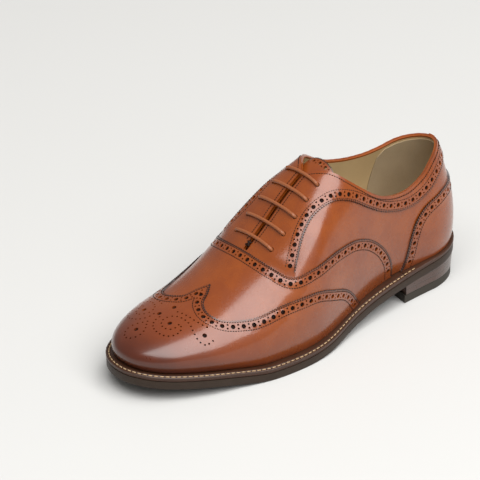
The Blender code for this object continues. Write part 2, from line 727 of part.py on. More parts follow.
def main():
    for old in list(bpy.data.objects):
        bpy.data.objects.remove(old)
    finish(upper(), TAN, 0.35)
    finish(vamp(), TAN, 0.3)
    finish(wing_cap(), DARK_TAN, 0.25)
    finish(facing("lateral"), TAN, 0.3)
    finish(facing("medial"), TAN, 0.3)
    finish(back_strap(), DARK_TAN, 0.3)
    finish(counter(), DARK_TAN, 0.3)
    finish(tongue(), TAN, 0.4)
    finish(insole(), LINING, 0.6)
    finish(outsole(), EDGE_BROWN, 0.45)
    breast = breast_turn()
    clear = 2 * GAP / LAST_LENGTH
    finish(strip("welt", breast + clear, 2 - breast - clear, welt_corners()), HEEL_BROWN, 0.45)
    finish(strip("heel_rand", 2 - breast + clear, 2 + breast - clear, welt_corners()), HEEL_BROWN, 0.45)
    finish(heel_stack(), HEEL_BROWN, 0.4)
    finish(top_piece(), RUBBER, 0.6)
    for i, turn in enumerate(LACE_TURNS, start=1):
        finish(lace_bar(f"lace_bar_{i}", turn), LACE_BROWN, 0.5)


main()
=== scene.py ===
# %% [markdown]
# # A wingtip brogue, dressed over its frame
# A brogue is a handful of leather panels pulled over a wooden last, stitched, punched and bottomed with a
# welted sole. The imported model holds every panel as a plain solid. This lesson cuts each panel again, finely,
# with its pinked edge and punched holes, and finishes it in burnished calf.

import bmesh
import bpy
import numpy as np
from mathutils import Matrix, Vector
from mathutils.geometry import delaunay_2d_cdt
from mathutils.kdtree import KDTree


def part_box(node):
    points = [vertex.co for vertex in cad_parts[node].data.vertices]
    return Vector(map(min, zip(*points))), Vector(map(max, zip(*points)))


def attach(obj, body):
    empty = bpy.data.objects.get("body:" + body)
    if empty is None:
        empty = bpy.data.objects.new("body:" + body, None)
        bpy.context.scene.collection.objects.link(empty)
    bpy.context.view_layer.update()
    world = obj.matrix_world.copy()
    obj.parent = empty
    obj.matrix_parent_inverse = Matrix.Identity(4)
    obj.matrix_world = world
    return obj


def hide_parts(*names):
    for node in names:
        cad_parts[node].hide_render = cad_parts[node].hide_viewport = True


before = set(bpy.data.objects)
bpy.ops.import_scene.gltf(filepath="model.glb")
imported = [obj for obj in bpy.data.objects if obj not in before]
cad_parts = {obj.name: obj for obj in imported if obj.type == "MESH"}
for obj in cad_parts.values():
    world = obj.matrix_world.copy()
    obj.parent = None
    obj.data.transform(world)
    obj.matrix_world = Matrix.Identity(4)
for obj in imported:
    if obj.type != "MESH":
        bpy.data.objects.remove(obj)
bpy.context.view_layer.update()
print("frame nodes:", len(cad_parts))

# %% [markdown]
# ## The last
# Every piece of the upper lies on the last, so its shape comes first. It is the one that the solids were cut
# from: a few driving sizes, and a table with a row for each section. The tables of the last and of the seams
# weren't drawn freely. They are rounded from a least-squares fit to the photograph.
# `turn` goes round the foot from the heel seam (0) along the outer side to the toe (1) and back (2), and `up`
# climbs from the welt (0) to the ridge (1).

# %% Sizes of the last and the sole
LAST_LENGTH = 0.2825
BALL_WIDTH = 0.100
ANKLE_HEIGHT = 0.129
HEEL_LIFT = 0.0198
TOE_SPRING = 0.0111
SWING = -0.003
HEEL_ROUND = 0.036
TOE_ROUND = 0.0555
TOE_SQUARENESS = 2.2
RIDGE_BLEND = 0.012
HEEL_CENTRE = 0.030

GAP = 0.0003
WALL = 0.0015
OVERLAY = 0.0009
WELT = 0.0030
OUTSOLE = 0.0055
TOP_PIECE = 0.0058
INSOLE = 0.0025
TONGUE = 0.0020
LACE = 0.0024

WELT_REACH = 0.0050
WELT_INSIDE = 0.0110
HEEL_LENGTH = 0.0640
HEEL_TAPER = 0.0012
BREAST_HOLLOW = 0.0030
INSOLE_MARGIN = 0.0012

SLIT_WIDTH = 0.0016
SLIT_TURN = 0.588
LACE_TURNS = (0.475, 0.499, 0.523, 0.546, 0.569)
EYELET_UP = 0.832
STRAP_WIDTH = 0.0080


def table(columns, *rows):
    """A short table with named columns, a row for each section."""
    return dict(zip(columns.split(), np.array(rows, float).T))


LAST = table(
    "along lateral medial tuck belly low shoulder middle crown",
    (0.00, 0.305, 0.310, 0.010, 1.06, 0.19, 1.02, 0.53, 0.50),
    (0.12, 0.316, 0.318, 0.025, 1.05, 0.20, 1.00, 0.47, 0.42),
    (0.28, 0.337, 0.322, 0.055, 1.04, 0.26, 1.02, 0.63, 0.54),
    (0.42, 0.402, 0.352, 0.040, 1.05, 0.29, 1.01, 0.83, 0.61),
    (0.55, 0.482, 0.450, 0.030, 1.05, 0.32, 1.03, 0.93, 0.66),
    (0.68, 0.490, 0.499, 0.038, 1.04, 0.29, 1.01, 0.74, 0.52),
    (0.80, 0.430, 0.454, 0.037, 1.04, 0.31, 1.00, 0.76, 0.52),
    (0.90, 0.383, 0.393, 0.033, 1.04, 0.34, 1.03, 0.79, 0.59),
    (1.00, 0.362, 0.348, 0.030, 1.04, 0.35, 1.02, 0.81, 0.61),
)
RIDGE = table(
    "along height",
    (0.00, 0.988), (0.15, 1.000), (0.30, 0.992), (0.40, 0.938), (0.50, 0.798),
    (0.60, 0.605), (0.70, 0.453), (0.80, 0.359), (0.90, 0.322), (1.00, 0.304),
)
FLOOR_LINE = table(
    "along heel toe",
    (0.00, 1.00, 0.0), (0.20, 0.74, 0.0), (0.35, 0.50, 0.0), (0.50, 0.10, 0.0), (0.60, 0.0, 0.0),
    (0.70, 0.0, 0.0), (0.85, 0.0, 0.54), (1.00, 0.0, 1.0),
)
WELT_LINE = table(
    "along reach",
    (0.00, 0.12), (0.12, 0.05), (0.28, 0.40), (0.42, 0.48), (0.55, 0.96), (0.68, 1.00),
    (0.85, 0.80), (1.00, 0.90),
)
COLLAR = table(
    "turn lateral medial",
    (0.00, 0.630, 0.630), (0.10, 0.638, 0.616), (0.20, 0.603, 0.605), (0.25, 0.547, 0.585),
    (0.30, 0.497, 0.560), (0.35, 0.494, 0.555), (0.40, 0.578, 0.610), (0.43, 0.690, 0.715),
    (0.452, 0.845, 0.850), (0.463, 0.920, 0.925),
)
FACING_TOP = 0.473
VAMP_EDGE = table(
    "lateral medial up",
    (0.590, 0.590, 1.00), (0.588, 0.588, 0.86), (0.583, 0.583, 0.74), (0.569, 0.569, 0.575),
    (0.532, 0.532, 0.460), (0.476, 0.476, 0.393), (0.428, 0.428, 0.352), (0.390, 0.390, 0.297),
    (0.360, 0.360, 0.210), (0.342, 0.342, 0.100), (0.337, 0.337, 0.000),
)
WING_EDGE = table(
    "lateral medial up",
    (0.660, 0.660, 1.00), (0.678, 0.684, 0.945), (0.704, 0.722, 0.89), (0.712, 0.730, 0.80),
    (0.700, 0.716, 0.69), (0.657, 0.664, 0.560), (0.598, 0.598, 0.478), (0.549, 0.549, 0.360),
    (0.506, 0.506, 0.258), (0.453, 0.453, 0.140), (0.422, 0.422, 0.000),
)
FACING_EDGE = table(
    "lateral medial up",
    (0.561, 0.561, 0.565), (0.549, 0.549, 0.622), (0.526, 0.526, 0.695), (0.505, 0.505, 0.708),
    (0.472, 0.472, 0.658), (0.435, 0.435, 0.562), (0.400, 0.400, 0.478), (0.350, 0.350, 0.410),
    (0.300, 0.300, 0.403), (0.250, 0.250, 0.442), (0.190, 0.190, 0.502), (0.110, 0.110, 0.545),
    (0.000, 0.000, 0.570),
)
COUNTER_EDGE = table(
    "lateral medial up",
    (0.000, 0.000, 0.435), (0.100, 0.100, 0.430), (0.200, 0.200, 0.425), (0.252, 0.252, 0.390),
    (0.283, 0.283, 0.320), (0.300, 0.300, 0.210), (0.306, 0.306, 0.120), (0.314, 0.314, 0.000),
)
QUARTER_FACE = -(OVERLAY + GAP)
LINING_FACE = QUARTER_FACE - WALL
TONGUE_FACE = LINING_FACE - LACE - 2 * GAP
CAP_FACE = GAP + OVERLAY
print("last", LAST_LENGTH * 1000, "mm, ball", BALL_WIDTH * 1000, "mm")


# %% [markdown]
# ## From a table to a skin
# A row of the table is a section of the last, and a smooth curve runs through each column. Five control
# points make every section a Bezier curve from the welt up to the ridge, so the whole foot is one formula.

# %% The skin of the last
def row(rows, column, share):
    """A smooth curve through one column of a table."""
    at, values = rows["along"], rows[column]
    slope = np.gradient(values, at)
    i = np.clip(np.searchsorted(at, share) - 1, 0, len(at) - 2)
    span = at[i + 1] - at[i]
    t = np.clip((share - at[i]) / span, 0, 1)
    rise = (3 - 2 * t) * t * t
    ease_out = t * (1 - t) ** 2 * span * slope[i]
    ease_in = t * t * (t - 1) * span * slope[i + 1]
    return values[i] * (1 - rise) + values[i + 1] * rise + ease_out + ease_in


def share_along(turn):
    """Share of the last's length from heel to toe, close-set where the ends turn."""
    return (1 - np.cos(np.pi * turn)) / 2


def share_at(distance):
    """Share of the last's length at a distance from its heel."""
    return np.clip(distance / LAST_LENGTH, 0, 1)


def swing(along):
    return SWING * np.clip((along - 0.3) / 0.7, 0, None) ** 2


def last_line(turn, grow=0.0):
    """The last's widest outline from above, grown outwards: x, and the distance from its heel."""
    def at(turn):
        along = share_along(turn)
        side = np.where(np.mod(turn, 2) <= 1, 1.0, -1.0)
        half = np.where(side > 0, row(LAST, "lateral", along), row(LAST, "medial", along)) * BALL_WIDTH
        heel = np.clip(1 - along * LAST_LENGTH / HEEL_ROUND, 0, 1)
        toe = np.clip(1 - (1 - along) * LAST_LENGTH / TOE_ROUND, 0, 1)
        ends = np.sqrt(1 - heel**2) * (1 - toe**TOE_SQUARENESS) ** (1 / TOE_SQUARENESS)
        return swing(along) + side * half * ends, along * LAST_LENGTH

    step = 1e-4
    x, s = at(turn)
    x0, s0 = at(turn - step)
    x1, s1 = at(turn + step)
    length = np.hypot(x1 - x0, s1 - s0) + 1e-15
    return x + grow * (s1 - s0) / length, s - grow * (x1 - x0) / length


def spine_line(turn):
    """The line under the ridge from which every section fans out."""
    s = share_along(turn) * LAST_LENGTH
    low, high = HEEL_ROUND, LAST_LENGTH - TOE_ROUND
    s = (s + low + np.hypot(s - low, RIDGE_BLEND)) / 2
    s = (s + high - np.hypot(high - s, RIDGE_BLEND)) / 2
    return swing(s / LAST_LENGTH), s


def floor_line(along):
    """Height of the sole's underside: heel lift, flat tread, toe spring."""
    heel = row(FLOOR_LINE, "heel", along) * HEEL_LIFT
    toe = row(FLOOR_LINE, "toe", along) * TOE_SPRING
    return np.maximum(heel + toe, 0.0)


def feather_line(along):
    """Height of the welt's top, where the upper meets it."""
    return floor_line(along) + OUTSOLE + GAP + WELT


def section_point(turn, up):
    """A point of the last's skin: a five-point Bezier section from the feather edge to the ridge."""
    along = share_along(turn)
    edge_x, edge_s = last_line(turn)
    ridge_x, ridge_s = spine_line(turn)
    reach = np.hypot(edge_x - ridge_x, edge_s - ridge_s)
    tuck = row(LAST, "tuck", along) * BALL_WIDTH / np.maximum(reach, 0.008)
    down = 1 - up
    feather, low, middle, high, ridge = down**4, 4 * up * down**3, 6 * up**2 * down**2, 4 * up**3 * down, up**4
    out = (feather * (1 - tuck) + low * row(LAST, "belly", along) + middle * row(LAST, "shoulder", along)
           + high * row(LAST, "crown", along))
    rise = low * row(LAST, "low", along) + middle * row(LAST, "middle", along) + high + ridge
    x = ridge_x + (edge_x - ridge_x) * out
    s = ridge_s + (edge_s - ridge_s) * out
    base = feather_line(along) + GAP
    top = row(RIDGE, "height", s / LAST_LENGTH) * ANKLE_HEIGHT
    return np.stack([x, HEEL_CENTRE - s, base + (top - base) * rise], -1)


def skin_normal(turn, up):
    """Outward unit normal, averaged with the other side's where the two sides meet on the ridge."""
    def raw(turn, up):
        step = 1e-3
        across = section_point(turn + step, up) - section_point(turn - step, up)
        climb = section_point(turn, np.minimum(up + step, 1)) - section_point(turn, np.maximum(up - step, 0))
        normal = np.cross(climb, across)
        return normal / np.linalg.norm(normal, axis=-1, keepdims=True)

    near_ridge = 0.97
    share = np.clip((up - near_ridge) / (1 - near_ridge), 0, 1)[..., None] / 2
    low = np.minimum(up, near_ridge)
    normal = raw(turn, low) * (1 - share) + raw(2 - turn, low) * share
    return normal / np.linalg.norm(normal, axis=-1, keepdims=True)


def skin_point(spots, depth=0.0):
    """Points off the skin at (turn, up) spots by `depth`, outwards positive."""
    turn, up = np.asarray(spots, float).T
    depth = np.broadcast_to(np.asarray(depth, float), turn.shape)
    return section_point(turn, up) + skin_normal(turn, up) * depth[..., None]


def chart(spots):
    """The skin laid out flat, fanned round the spine, for cutting panels."""
    turn, up = np.asarray(spots, float).T
    edge_x, edge_s = last_line(turn)
    ridge_x, ridge_s = spine_line(turn)
    return np.stack([edge_x + (ridge_x - edge_x) * up, edge_s + (ridge_s - edge_s) * up], -1)


def up_at_width(turn, width):
    """The share up that lies `width` from the ridge on the chart."""
    edge_x, edge_s = last_line(turn)
    ridge_x, ridge_s = spine_line(turn)
    return 1 - width / np.hypot(edge_x - ridge_x, edge_s - ridge_s)


high_corner = np.array(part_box("upper")[1])
known = np.stack(np.meshgrid(np.linspace(0, 2, 90), np.linspace(0, 0.6, 12)), -1).reshape(-1, 2)
differs = (skin_point(known, QUARTER_FACE).max(0) - high_corner)[:2]
print("upper's box differs from the formula's by", np.round(differs * 1000, 2), "mm")


# %% [markdown]
# ## Lines on leather
# A seam, a row of holes and a row of stitches are all lines on the skin, a set distance apart. A line is kept
# as (turn, up) spots. To move one sideways by real millimetres it steps off in space and settles back on the
# skin by Newton's method, which also lets a line run over the ridge from one side of the shoe to the other.

# %% Seams and their neighbours
FINE_STEP = 0.0008


def slopes(spots):
    """How far the skin moves for a unit of turn and of up."""
    small = 1e-4
    turn, up = spots.T
    across = (section_point(turn + small, up) - section_point(turn - small, up)) / (2 * small)
    climb = (section_point(turn, up + small) - section_point(turn, up - small)) / (2 * small)
    return np.stack([across, climb], -1)


def settled(points, spots):
    """The spots nearest to points in space, from spots nearby; what crosses the ridge is folded over."""
    for _ in range(5):
        misses = points - section_point(*spots.T)
        spots = spots + np.einsum("nij,nj->ni", np.linalg.pinv(slopes(spots)), misses)
    over = spots[:, 1] > 1
    spots[over] = (2, 2) - spots[over]
    return spots


def lengths(points):
    return np.concatenate([[0], np.cumsum(np.linalg.norm(np.diff(points, axis=0), axis=1))])


def evenly(spots, step=None, at=None):
    """Spots at even steps over the skin along a line, or at given distances."""
    points = section_point(*spots.T)
    run = lengths(points)
    if at is None:
        at = np.linspace(0, run[-1], max(round(run[-1] / step), 1) + 1)
    nearest = np.abs(run[:, None] - at).argmin(axis=0)
    return settled(np.stack([np.interp(at, run, axis) for axis in points.T], -1), spots[nearest])


def smooth(turns, ups):
    """A dense smooth line through chosen spots on one side."""
    run = lengths(section_point(np.asarray(turns, float), np.asarray(ups, float)))
    knots = {"along": run, "turn": np.asarray(turns, float), "up": np.asarray(ups, float)}
    fine = np.linspace(0, run[-1], 40 * len(run))
    return np.stack([row(knots, "turn", fine), row(knots, "up", fine)], -1)


def other_side(spots):
    return np.stack([2 - spots[:, 0], spots[:, 1]], -1)


def on_side(spots, side):
    """Spots of the outer side, or their mirror on the inner side."""
    return spots if side == "lateral" else other_side(spots)


def straight(turns, ups, count):
    """A run of spots between two turns and two shares up."""
    return np.stack([np.linspace(*turns, count), np.linspace(*ups, count)], -1)


def over_ridge(rows):
    """A seam from the outer feather edge over the ridge to the inner one; its panel is on the toe's side."""
    near = smooth(rows["lateral"], rows["up"])[::-1]
    far = other_side(smooth(rows["medial"], rows["up"]))
    return evenly(np.concatenate([near, far[1:]]), FINE_STEP)


def moved(spots, distance):
    """A line stepped sideways over the skin, inwards positive, point for point."""
    points = section_point(*spots.T)
    side = np.cross(skin_normal(*spots.T), np.gradient(points, axis=0))
    side /= np.linalg.norm(side, axis=1, keepdims=True)
    return settled(points + side * distance, spots.copy())


def beside(spots, distance):
    """A line at a set distance from another, without the loops that it makes round tight bends."""
    stepped = moved(spots, distance)
    apart = np.linalg.norm(section_point(*stepped.T)[:, None] - section_point(*spots.T), axis=-1).min(axis=1)
    return evenly(stepped[apart > 0.95 * abs(distance)], FINE_STEP)


TOOTH = 0.0019
TOOTH_DEPTH = 0.0009


def pinked(spots):
    """A seam's edge cut into small teeth."""
    count = 2 * round(lengths(section_point(*spots.T))[-1] / TOOTH)
    line = evenly(spots, at=np.linspace(0, lengths(section_point(*spots.T))[-1], count + 1))
    line[1::2] = moved(line, TOOTH_DEPTH)[1::2]
    return line


def ring(spots, radius, sides):
    """Round holes, sized in true millimetres, at each spot."""
    frames, _ = np.linalg.qr(slopes(spots))
    angles = (np.arange(sides) + 0.5) * 2 * np.pi / sides
    steps = radius * np.stack([np.cos(angles), np.sin(angles)])
    points = section_point(*spots.T)[:, None] + np.einsum("nij,jk->nki", frames, steps)
    flat = settled(points.reshape(-1, 3), np.repeat(spots, sides, axis=0))
    return list(flat.reshape(len(spots), sides, 2))


wing_seam = over_ridge(WING_EDGE)
vamp_seam = over_ridge(VAMP_EDGE)
counter_side = smooth(COUNTER_EDGE["lateral"], COUNTER_EDGE["up"])
counter_medial = smooth(COUNTER_EDGE["medial"], COUNTER_EDGE["up"])
counter_seam = evenly(np.concatenate([other_side(counter_medial)[::-1], counter_side[1:] + (2, 0)]), FINE_STEP)
facing_seam = evenly(smooth(FACING_EDGE["lateral"], FACING_EDGE["up"]), FINE_STEP)
print("wing seam", round(lengths(section_point(*wing_seam.T))[-1] * 1000), "mm,",
      "vamp seam", round(lengths(section_point(*vamp_seam.T))[-1] * 1000), "mm")

# %% [markdown]
# ## Punching the brogue rows
# Beside each pinked edge run a stitch row, a row of punched holes and a second stitch row. The holes are one
# large, then a pair of small ones, again and again. Real holes are cut here, because the wall of a hole
# throws the dark crescent that a painted dot lacks.

# %% Rows of holes
STITCH_IN = 0.0016
HOLES_IN = 0.0045
STITCH_OUT = 0.0075
BIG_HOLE = 0.00155
SMALL_HOLE = 0.00067
HOLE_PITCH = 0.0072
PAIR_HALF = 0.00125
BIG_SIDES = 14
SMALL_SIDES = 8


def brogue_row(spots, clear=(0.006, 0.006), centred=True):
    """Large holes with pairs of small ones between them, along a line; a large one sits at its middle."""
    points = section_point(*spots.T)
    total = lengths(points)[-1]
    if centred:
        half = total / 2 - max(clear)
        count = int(half / HOLE_PITCH)
        at = total / 2 + HOLE_PITCH * np.arange(-count, count + 1)
    else:
        span = total - clear[0] - clear[1]
        at = clear[0] + np.linspace(0, span, round(span / HOLE_PITCH) + 1)
    big = evenly(spots, at=at)
    middles = evenly(spots, at=(at[1:] + at[:-1]) / 2)
    line = evenly(spots, at=np.sort(np.concatenate([at, (at[1:] + at[:-1]) / 2])))
    pairs = np.concatenate([moved(line, PAIR_HALF)[1::2], moved(line, -PAIR_HALF)[1::2]])
    pitch = round((at[1] - at[0]) * 1000, 2)
    print("row of", len(big), "large and", len(pairs), "small holes, pitch", pitch, "mm")
    return ring(big, BIG_HOLE, BIG_SIDES) + ring(pairs, SMALL_HOLE, SMALL_SIDES)


wing_holes = brogue_row(beside(wing_seam, HOLES_IN))
vamp_holes = brogue_row(beside(vamp_seam, HOLES_IN))
counter_holes = brogue_row(beside(counter_seam, HOLES_IN))
facing_holes = brogue_row(beside(facing_seam, HOLES_IN), clear=(0.004, 0.010), centred=False)

# %% [markdown]
# ## The toe's medallion
# The cap carries a punched figure of scrolls, mirrored about the toe's middle. Its places, across and ahead
# of the wing's dip, began as points of the photograph worked out on the last, and were then moved one by one.
# A smooth curve through each scroll spaces the holes.

# %% Medallion
MEDALLION_AXIS = -0.0075
MEDALLION_BACK = -0.1964
MEDALLION_PITCH = 0.0034
MIDDLE_HOLES = ((0.0028, 0.0098), (0.0, 0.0202), (0.0, 0.0396))
SIDE_HOLES = ((0.0135, 0.0222), (0.0362, 0.0107))
SCROLLS = (
    ((0.0030, 0.0225), (0.0034, 0.0265), (0.0075, 0.0315), (0.0135, 0.0330), (0.0200, 0.0315), (0.0240, 0.0270),
     (0.0242, 0.0220), (0.0212, 0.0190)),
    ((0.0190, 0.0190), (0.0193, 0.0240), (0.0150, 0.0275), (0.0100, 0.0265), (0.0072, 0.0225), (0.0085, 0.0175),
     (0.0125, 0.0145), (0.0178, 0.0133), (0.0235, 0.0135), (0.0285, 0.0150), (0.0338, 0.0162), (0.0382, 0.0160),
     (0.0414, 0.0140), (0.0434, 0.0110), (0.0439, 0.0078)),
    ((0.0085, 0.0115), (0.0130, 0.0103), (0.0178, 0.0095), (0.0230, 0.0088), (0.0283, 0.0075), (0.0325, 0.0058)),
    ((0.0000, 0.0300), (0.0024, 0.0330), (0.0050, 0.0362), (0.0064, 0.0400), (0.0060, 0.0435), (0.0036, 0.0465),
     (0.0000, 0.0478)),
)


def tree_of(points):
    """A search tree of points in the plane or in space."""
    tree = KDTree(len(points))
    for i, point in enumerate(points):
        tree.insert((*point, 0.0)[:3], i)
    tree.balance()
    return tree


def nearest_distance(points, line):
    """Distance from each point to the nearest point of a dense line."""
    tree = tree_of(line)
    return np.array([tree.find((*point, 0.0)[:3])[2] for point in points])


def on_toe(places):
    """Spots on the toe for places (across, ahead), the first measured over the skin from the middle line."""
    turns, ups = np.meshgrid(np.linspace(0.6, 1.4, 160), np.linspace(0.15, 1, 80))
    known = np.stack([turns.ravel(), ups.ravel()], -1)
    shape = section_point(*known.T)
    above = tree_of(shape[:, :2])
    rungs = 40
    spots = []
    for across, ahead in places:
        y = MEDALLION_BACK - ahead
        x = MEDALLION_AXIS + np.sign(across) * np.linspace(0, 0.040, rungs)
        walk = shape[[above.find((x_rung, y, 0.0))[1] for x_rung in x]]
        run = lengths(np.stack([x, walk[:, 2]], -1))
        x_here = np.interp(abs(across), run, x)
        start = above.find((x_here, y, 0.0))[1]
        z = shape[start, 2]
        spots.append(settled(np.array([[x_here, y, z]]), known[[start]])[0])
    return np.array(spots)


def mirrored(places):
    return [(-across, ahead) for across, ahead in places if across > 0]


def scroll_places(chosen):
    """Holes at even steps along a smooth line through a scroll's chosen places."""
    places = np.array(chosen)
    run = lengths(places)
    knots = {"along": run, "across": places[:, 0], "ahead": places[:, 1]}
    fine = np.linspace(0, run[-1], 200)
    line = np.stack([row(knots, "across", fine), row(knots, "ahead", fine)], -1)
    run = lengths(line)
    at = np.linspace(0, run[-1], round(run[-1] / MEDALLION_PITCH) + 1)
    return [(float(np.interp(d, run, line[:, 0])), float(np.interp(d, run, line[:, 1]))) for d in at]


large = list(MIDDLE_HOLES) + list(SIDE_HOLES) + mirrored(SIDE_HOLES)
small = [place for scroll in SCROLLS for place in scroll_places(scroll)]
small += mirrored([place for place in small if place[0] > 1e-4])
medallion_holes = ring(on_toe(large), BIG_HOLE, BIG_SIDES) + ring(on_toe(small), SMALL_HOLE, SMALL_SIDES)
print("medallion of", len(large), "large and", len(small), "small holes")


# %% [markdown]
# ## Cutting a panel
# No single operator cuts a pinked, punched outline and lays it on a double-curved last. The outline, the
# holes and the stitch rows are lines on the flat chart, a Delaunay triangulation fills them with a lattice
# that all panels share, and bmesh lifts the sheet onto the last and extrudes it to the leather's thickness.

# %% Panel cutter
LATTICE_STEP = 0.0024
LATTICE_ROWS = 44
NEAR_RIDGE = 0.9999
FEATHER_STEP = 0.0030
DIP_DEPTH = 0.00020
DIP_REACH = 0.0016


def lattice():
    """Points spread evenly over the whole skin."""
    ups = np.linspace(0, 1, LATTICE_ROWS + 1)[1:-1]
    rows = [evenly(straight((0, 2), (up, up), 1601), LATTICE_STEP)[:-1] for up in ups]
    rows.append(evenly(straight((0.02, 0.98), (NEAR_RIDGE, NEAR_RIDGE), 801), LATTICE_STEP))
    return np.concatenate(rows)


GRID = lattice()
GRID_FLAT = chart(GRID)
print("lattice of", len(GRID), "points")


def inside(points, loop):
    """Which points lie inside a loop, by counting crossings."""
    found = np.zeros(len(points), int)
    for (x0, y0), (x1, y1) in zip(loop, np.roll(loop, -1, axis=0)):
        if y0 != y1:
            between = (y0 > points[:, 1]) != (y1 > points[:, 1])
            found += between & (points[:, 0] < (x1 - x0) * (points[:, 1] - y0) / (y1 - y0) + x0)
    return found % 2 == 1


def spot_at(flat, guess):
    """The spot of a chart point, by Newton's steps from a guess nearby."""
    small = 1e-5
    spot = np.array(guess, float)
    for _ in range(12):
        here = chart(spot)
        tilt = np.stack([chart(spot + (small, 0)) - here, chart(spot + (0, small)) - here], -1) / small
        spot -= np.linalg.lstsq(tilt, here - flat, rcond=None)[0]
    return spot


def closed_up(*runs):
    """Runs of spots end to end as one loop, with shared ends once."""
    spots = np.concatenate(runs)
    flat = chart(spots)
    return spots[np.hypot(*(flat - np.roll(flat, 1, axis=0)).T) > 1e-5]


def mesh_object(name, bm, smooth_angle=40):
    bmesh.ops.remove_doubles(bm, verts=bm.verts, dist=1e-6)
    bmesh.ops.recalc_face_normals(bm, faces=bm.faces)
    mesh = bpy.data.meshes.new(name)
    bm.to_mesh(mesh)
    bm.free()
    mesh.shade_smooth()
    mesh.set_sharp_from_angle(angle=np.radians(smooth_angle))
    obj = bpy.data.objects.new(name, mesh)
    bpy.context.collection.objects.link(obj)
    return obj


def leather(name, edge, holes, low, high, lines=(), measure=None):
    """A panel between two depths, each a function of its spots. Its points keep their distance from `measure`,
    a seam, where the finish draws a dark line: partly edge dye, partly painted shadow.
    """
    loops = [edge, *holes]
    flat_loops = [chart(loop) for loop in loops]
    keep = inside(GRID_FLAT, flat_loops[0])
    clear = 0.35 * LATTICE_STEP
    for flat in (*flat_loops, *[chart(line) for line in lines]):
        box_low, box_high = flat.min(axis=0) - LATTICE_STEP, flat.max(axis=0) + LATTICE_STEP
        close = keep & (GRID_FLAT > box_low).all(axis=1) & (GRID_FLAT < box_high).all(axis=1)
        dense = np.concatenate([flat, (flat + np.roll(flat, -1, axis=0)) / 2])
        keep[close] &= nearest_distance(GRID_FLAT[close], dense) > clear
    for flat in flat_loops[1:]:
        close = keep & (GRID_FLAT > flat.min(axis=0)).all(axis=1) & (GRID_FLAT < flat.max(axis=0)).all(axis=1)
        keep[close] &= ~inside(GRID_FLAT[close], flat)
    known = np.concatenate([*loops, *lines, GRID[keep]])
    rings, first = [], 0
    for flat in flat_loops:
        ring_here = list(range(first, first + len(flat)))
        x, y = flat.T
        turned = (x * np.roll(y, -1) - np.roll(x, -1) * y).sum() > 0
        rings.append(ring_here if turned else ring_here[::-1])
        first += len(flat)
    folds = []
    for line in lines:
        folds += [(i, i + 1) for i in range(first, first + len(line) - 1)]
        first += len(line)
    flat = chart(known)
    points, _, faces, sources, _, parents = delaunay_2d_cdt([Vector(p) for p in flat], folds, rings, 0, 1e-7)
    spots = np.array([
        known[source[0]] if source else spot_at(np.array(point), known[np.hypot(*(flat - point).T).argmin()])
        for point, source in zip(points, sources)
    ])
    faces = [face for face, parent in zip(faces, parents) if parent == [0]]
    bm = bmesh.new()
    mark = bm.verts.layers.int.new("spot")
    seam_distance = bm.verts.layers.float.new("seam")
    verts = [bm.verts.new() for _ in spots]
    for i, vert in enumerate(verts):
        vert[mark] = i
    for face in faces:
        bm.faces.new([verts[i] for i in face])
    bmesh.ops.delete(bm, geom=[vert for vert in bm.verts if not vert.link_faces], context="VERTS")
    raised = bmesh.ops.extrude_face_region(bm, geom=bm.faces[:])["geom"]
    outer = {item for item in raised if isinstance(item, bmesh.types.BMVert)}
    bottom, top = skin_point(spots, low(spots)), skin_point(spots, high(spots))
    for face in (bottom, top):
        face[:, 2] = np.maximum(face[:, 2], feather_line(share_at(HEEL_CENTRE - face[:, 1])) + GAP)
    distance = None
    if measure is not None:
        distance = nearest_distance(section_point(*spots.T), section_point(*measure.T))
    for vert in bm.verts:
        vert.co = (top if vert in outer else bottom)[vert[mark]]
        # Distance from the seam, for the finish's dark edge line: partly edge dye, partly painted shadow.
        vert[seam_distance] = 1.0 if distance is None else distance[vert[mark]] * 100
    obj = mesh_object(name, bm)
    print(name, len(obj.data.polygons), "faces")
    return obj


def at_depth(depth):
    return lambda spots: np.full(len(spots), depth)


def feather_run(start, stop):
    """A run along the feather edge."""
    return evenly(straight((start, stop), (0, 0), 400), FEATHER_STEP)


def dips(seams):
    """How far leather is pulled in along its stitch rows."""
    points = np.concatenate([section_point(*seam.T) for seam in seams])

    def depth_at(spots):
        near = nearest_distance(section_point(*spots.T), points)
        return -DIP_DEPTH * np.clip(1 - near / DIP_REACH, 0, 1) ** 2

    return depth_at


# %% [markdown]
# ## The wing cap and the vamp
# The cap's rear edge is the pinked W with its long wings. Its loop runs along the feather edge round the toe
# and back along the seam. The vamp below has the same kind of rear edge and lies flush over the facings.

# %% Wing cap and vamp
SEAM_STEP = 0.0018
CAP_CLEAR = 0.00003


def stitch_rows(seam):
    return [evenly(beside(seam, distance), SEAM_STEP) for distance in (STITCH_IN, STITCH_OUT)]


def punched(name, seam, holes, low, high, rows):
    """A panel from a pinked seam to the feather edge."""
    teeth = pinked(seam)
    loop = closed_up(feather_run(seam[0, 0], seam[-1, 0]), teeth[::-1])
    return leather(name, loop, holes, low, high, [line[2:-2] for line in rows], teeth)


wing_rows = stitch_rows(wing_seam)
vamp_rows = stitch_rows(vamp_seam)
wing_dips = dips(wing_rows)
vamp_top = dips([*vamp_rows, wing_rows[0]])


def cap_top(spots):
    return CAP_FACE + wing_dips(spots)


wing_cap = punched("wing_cap_punched", wing_seam, wing_holes + medallion_holes,
                   at_depth(CAP_CLEAR), cap_top, wing_rows)
vamp = punched("vamp_punched", vamp_seam, vamp_holes, at_depth(-OVERLAY), vamp_top, vamp_rows)

# %% [markdown]
# ## Facings and collar band
# The facings carry the eyelets and run on as the band below the collar. Their front ends slip under the
# vamp's edge, and where the leather is folded over, at the slit and the collar, the edge is rounded.

# %% Facings
EYELET_HOLE = 0.0017
UNDER_VAMP = 0.0030
SLOPE_UNDER = 0.0080
FOLD = 0.0013
FOLD_DROP = 0.00045
FACING_LOW = -0.00108
UNDER_HIGH, UNDER_LOW = -0.00095, -0.00115
LOOP_STEP = 0.0020


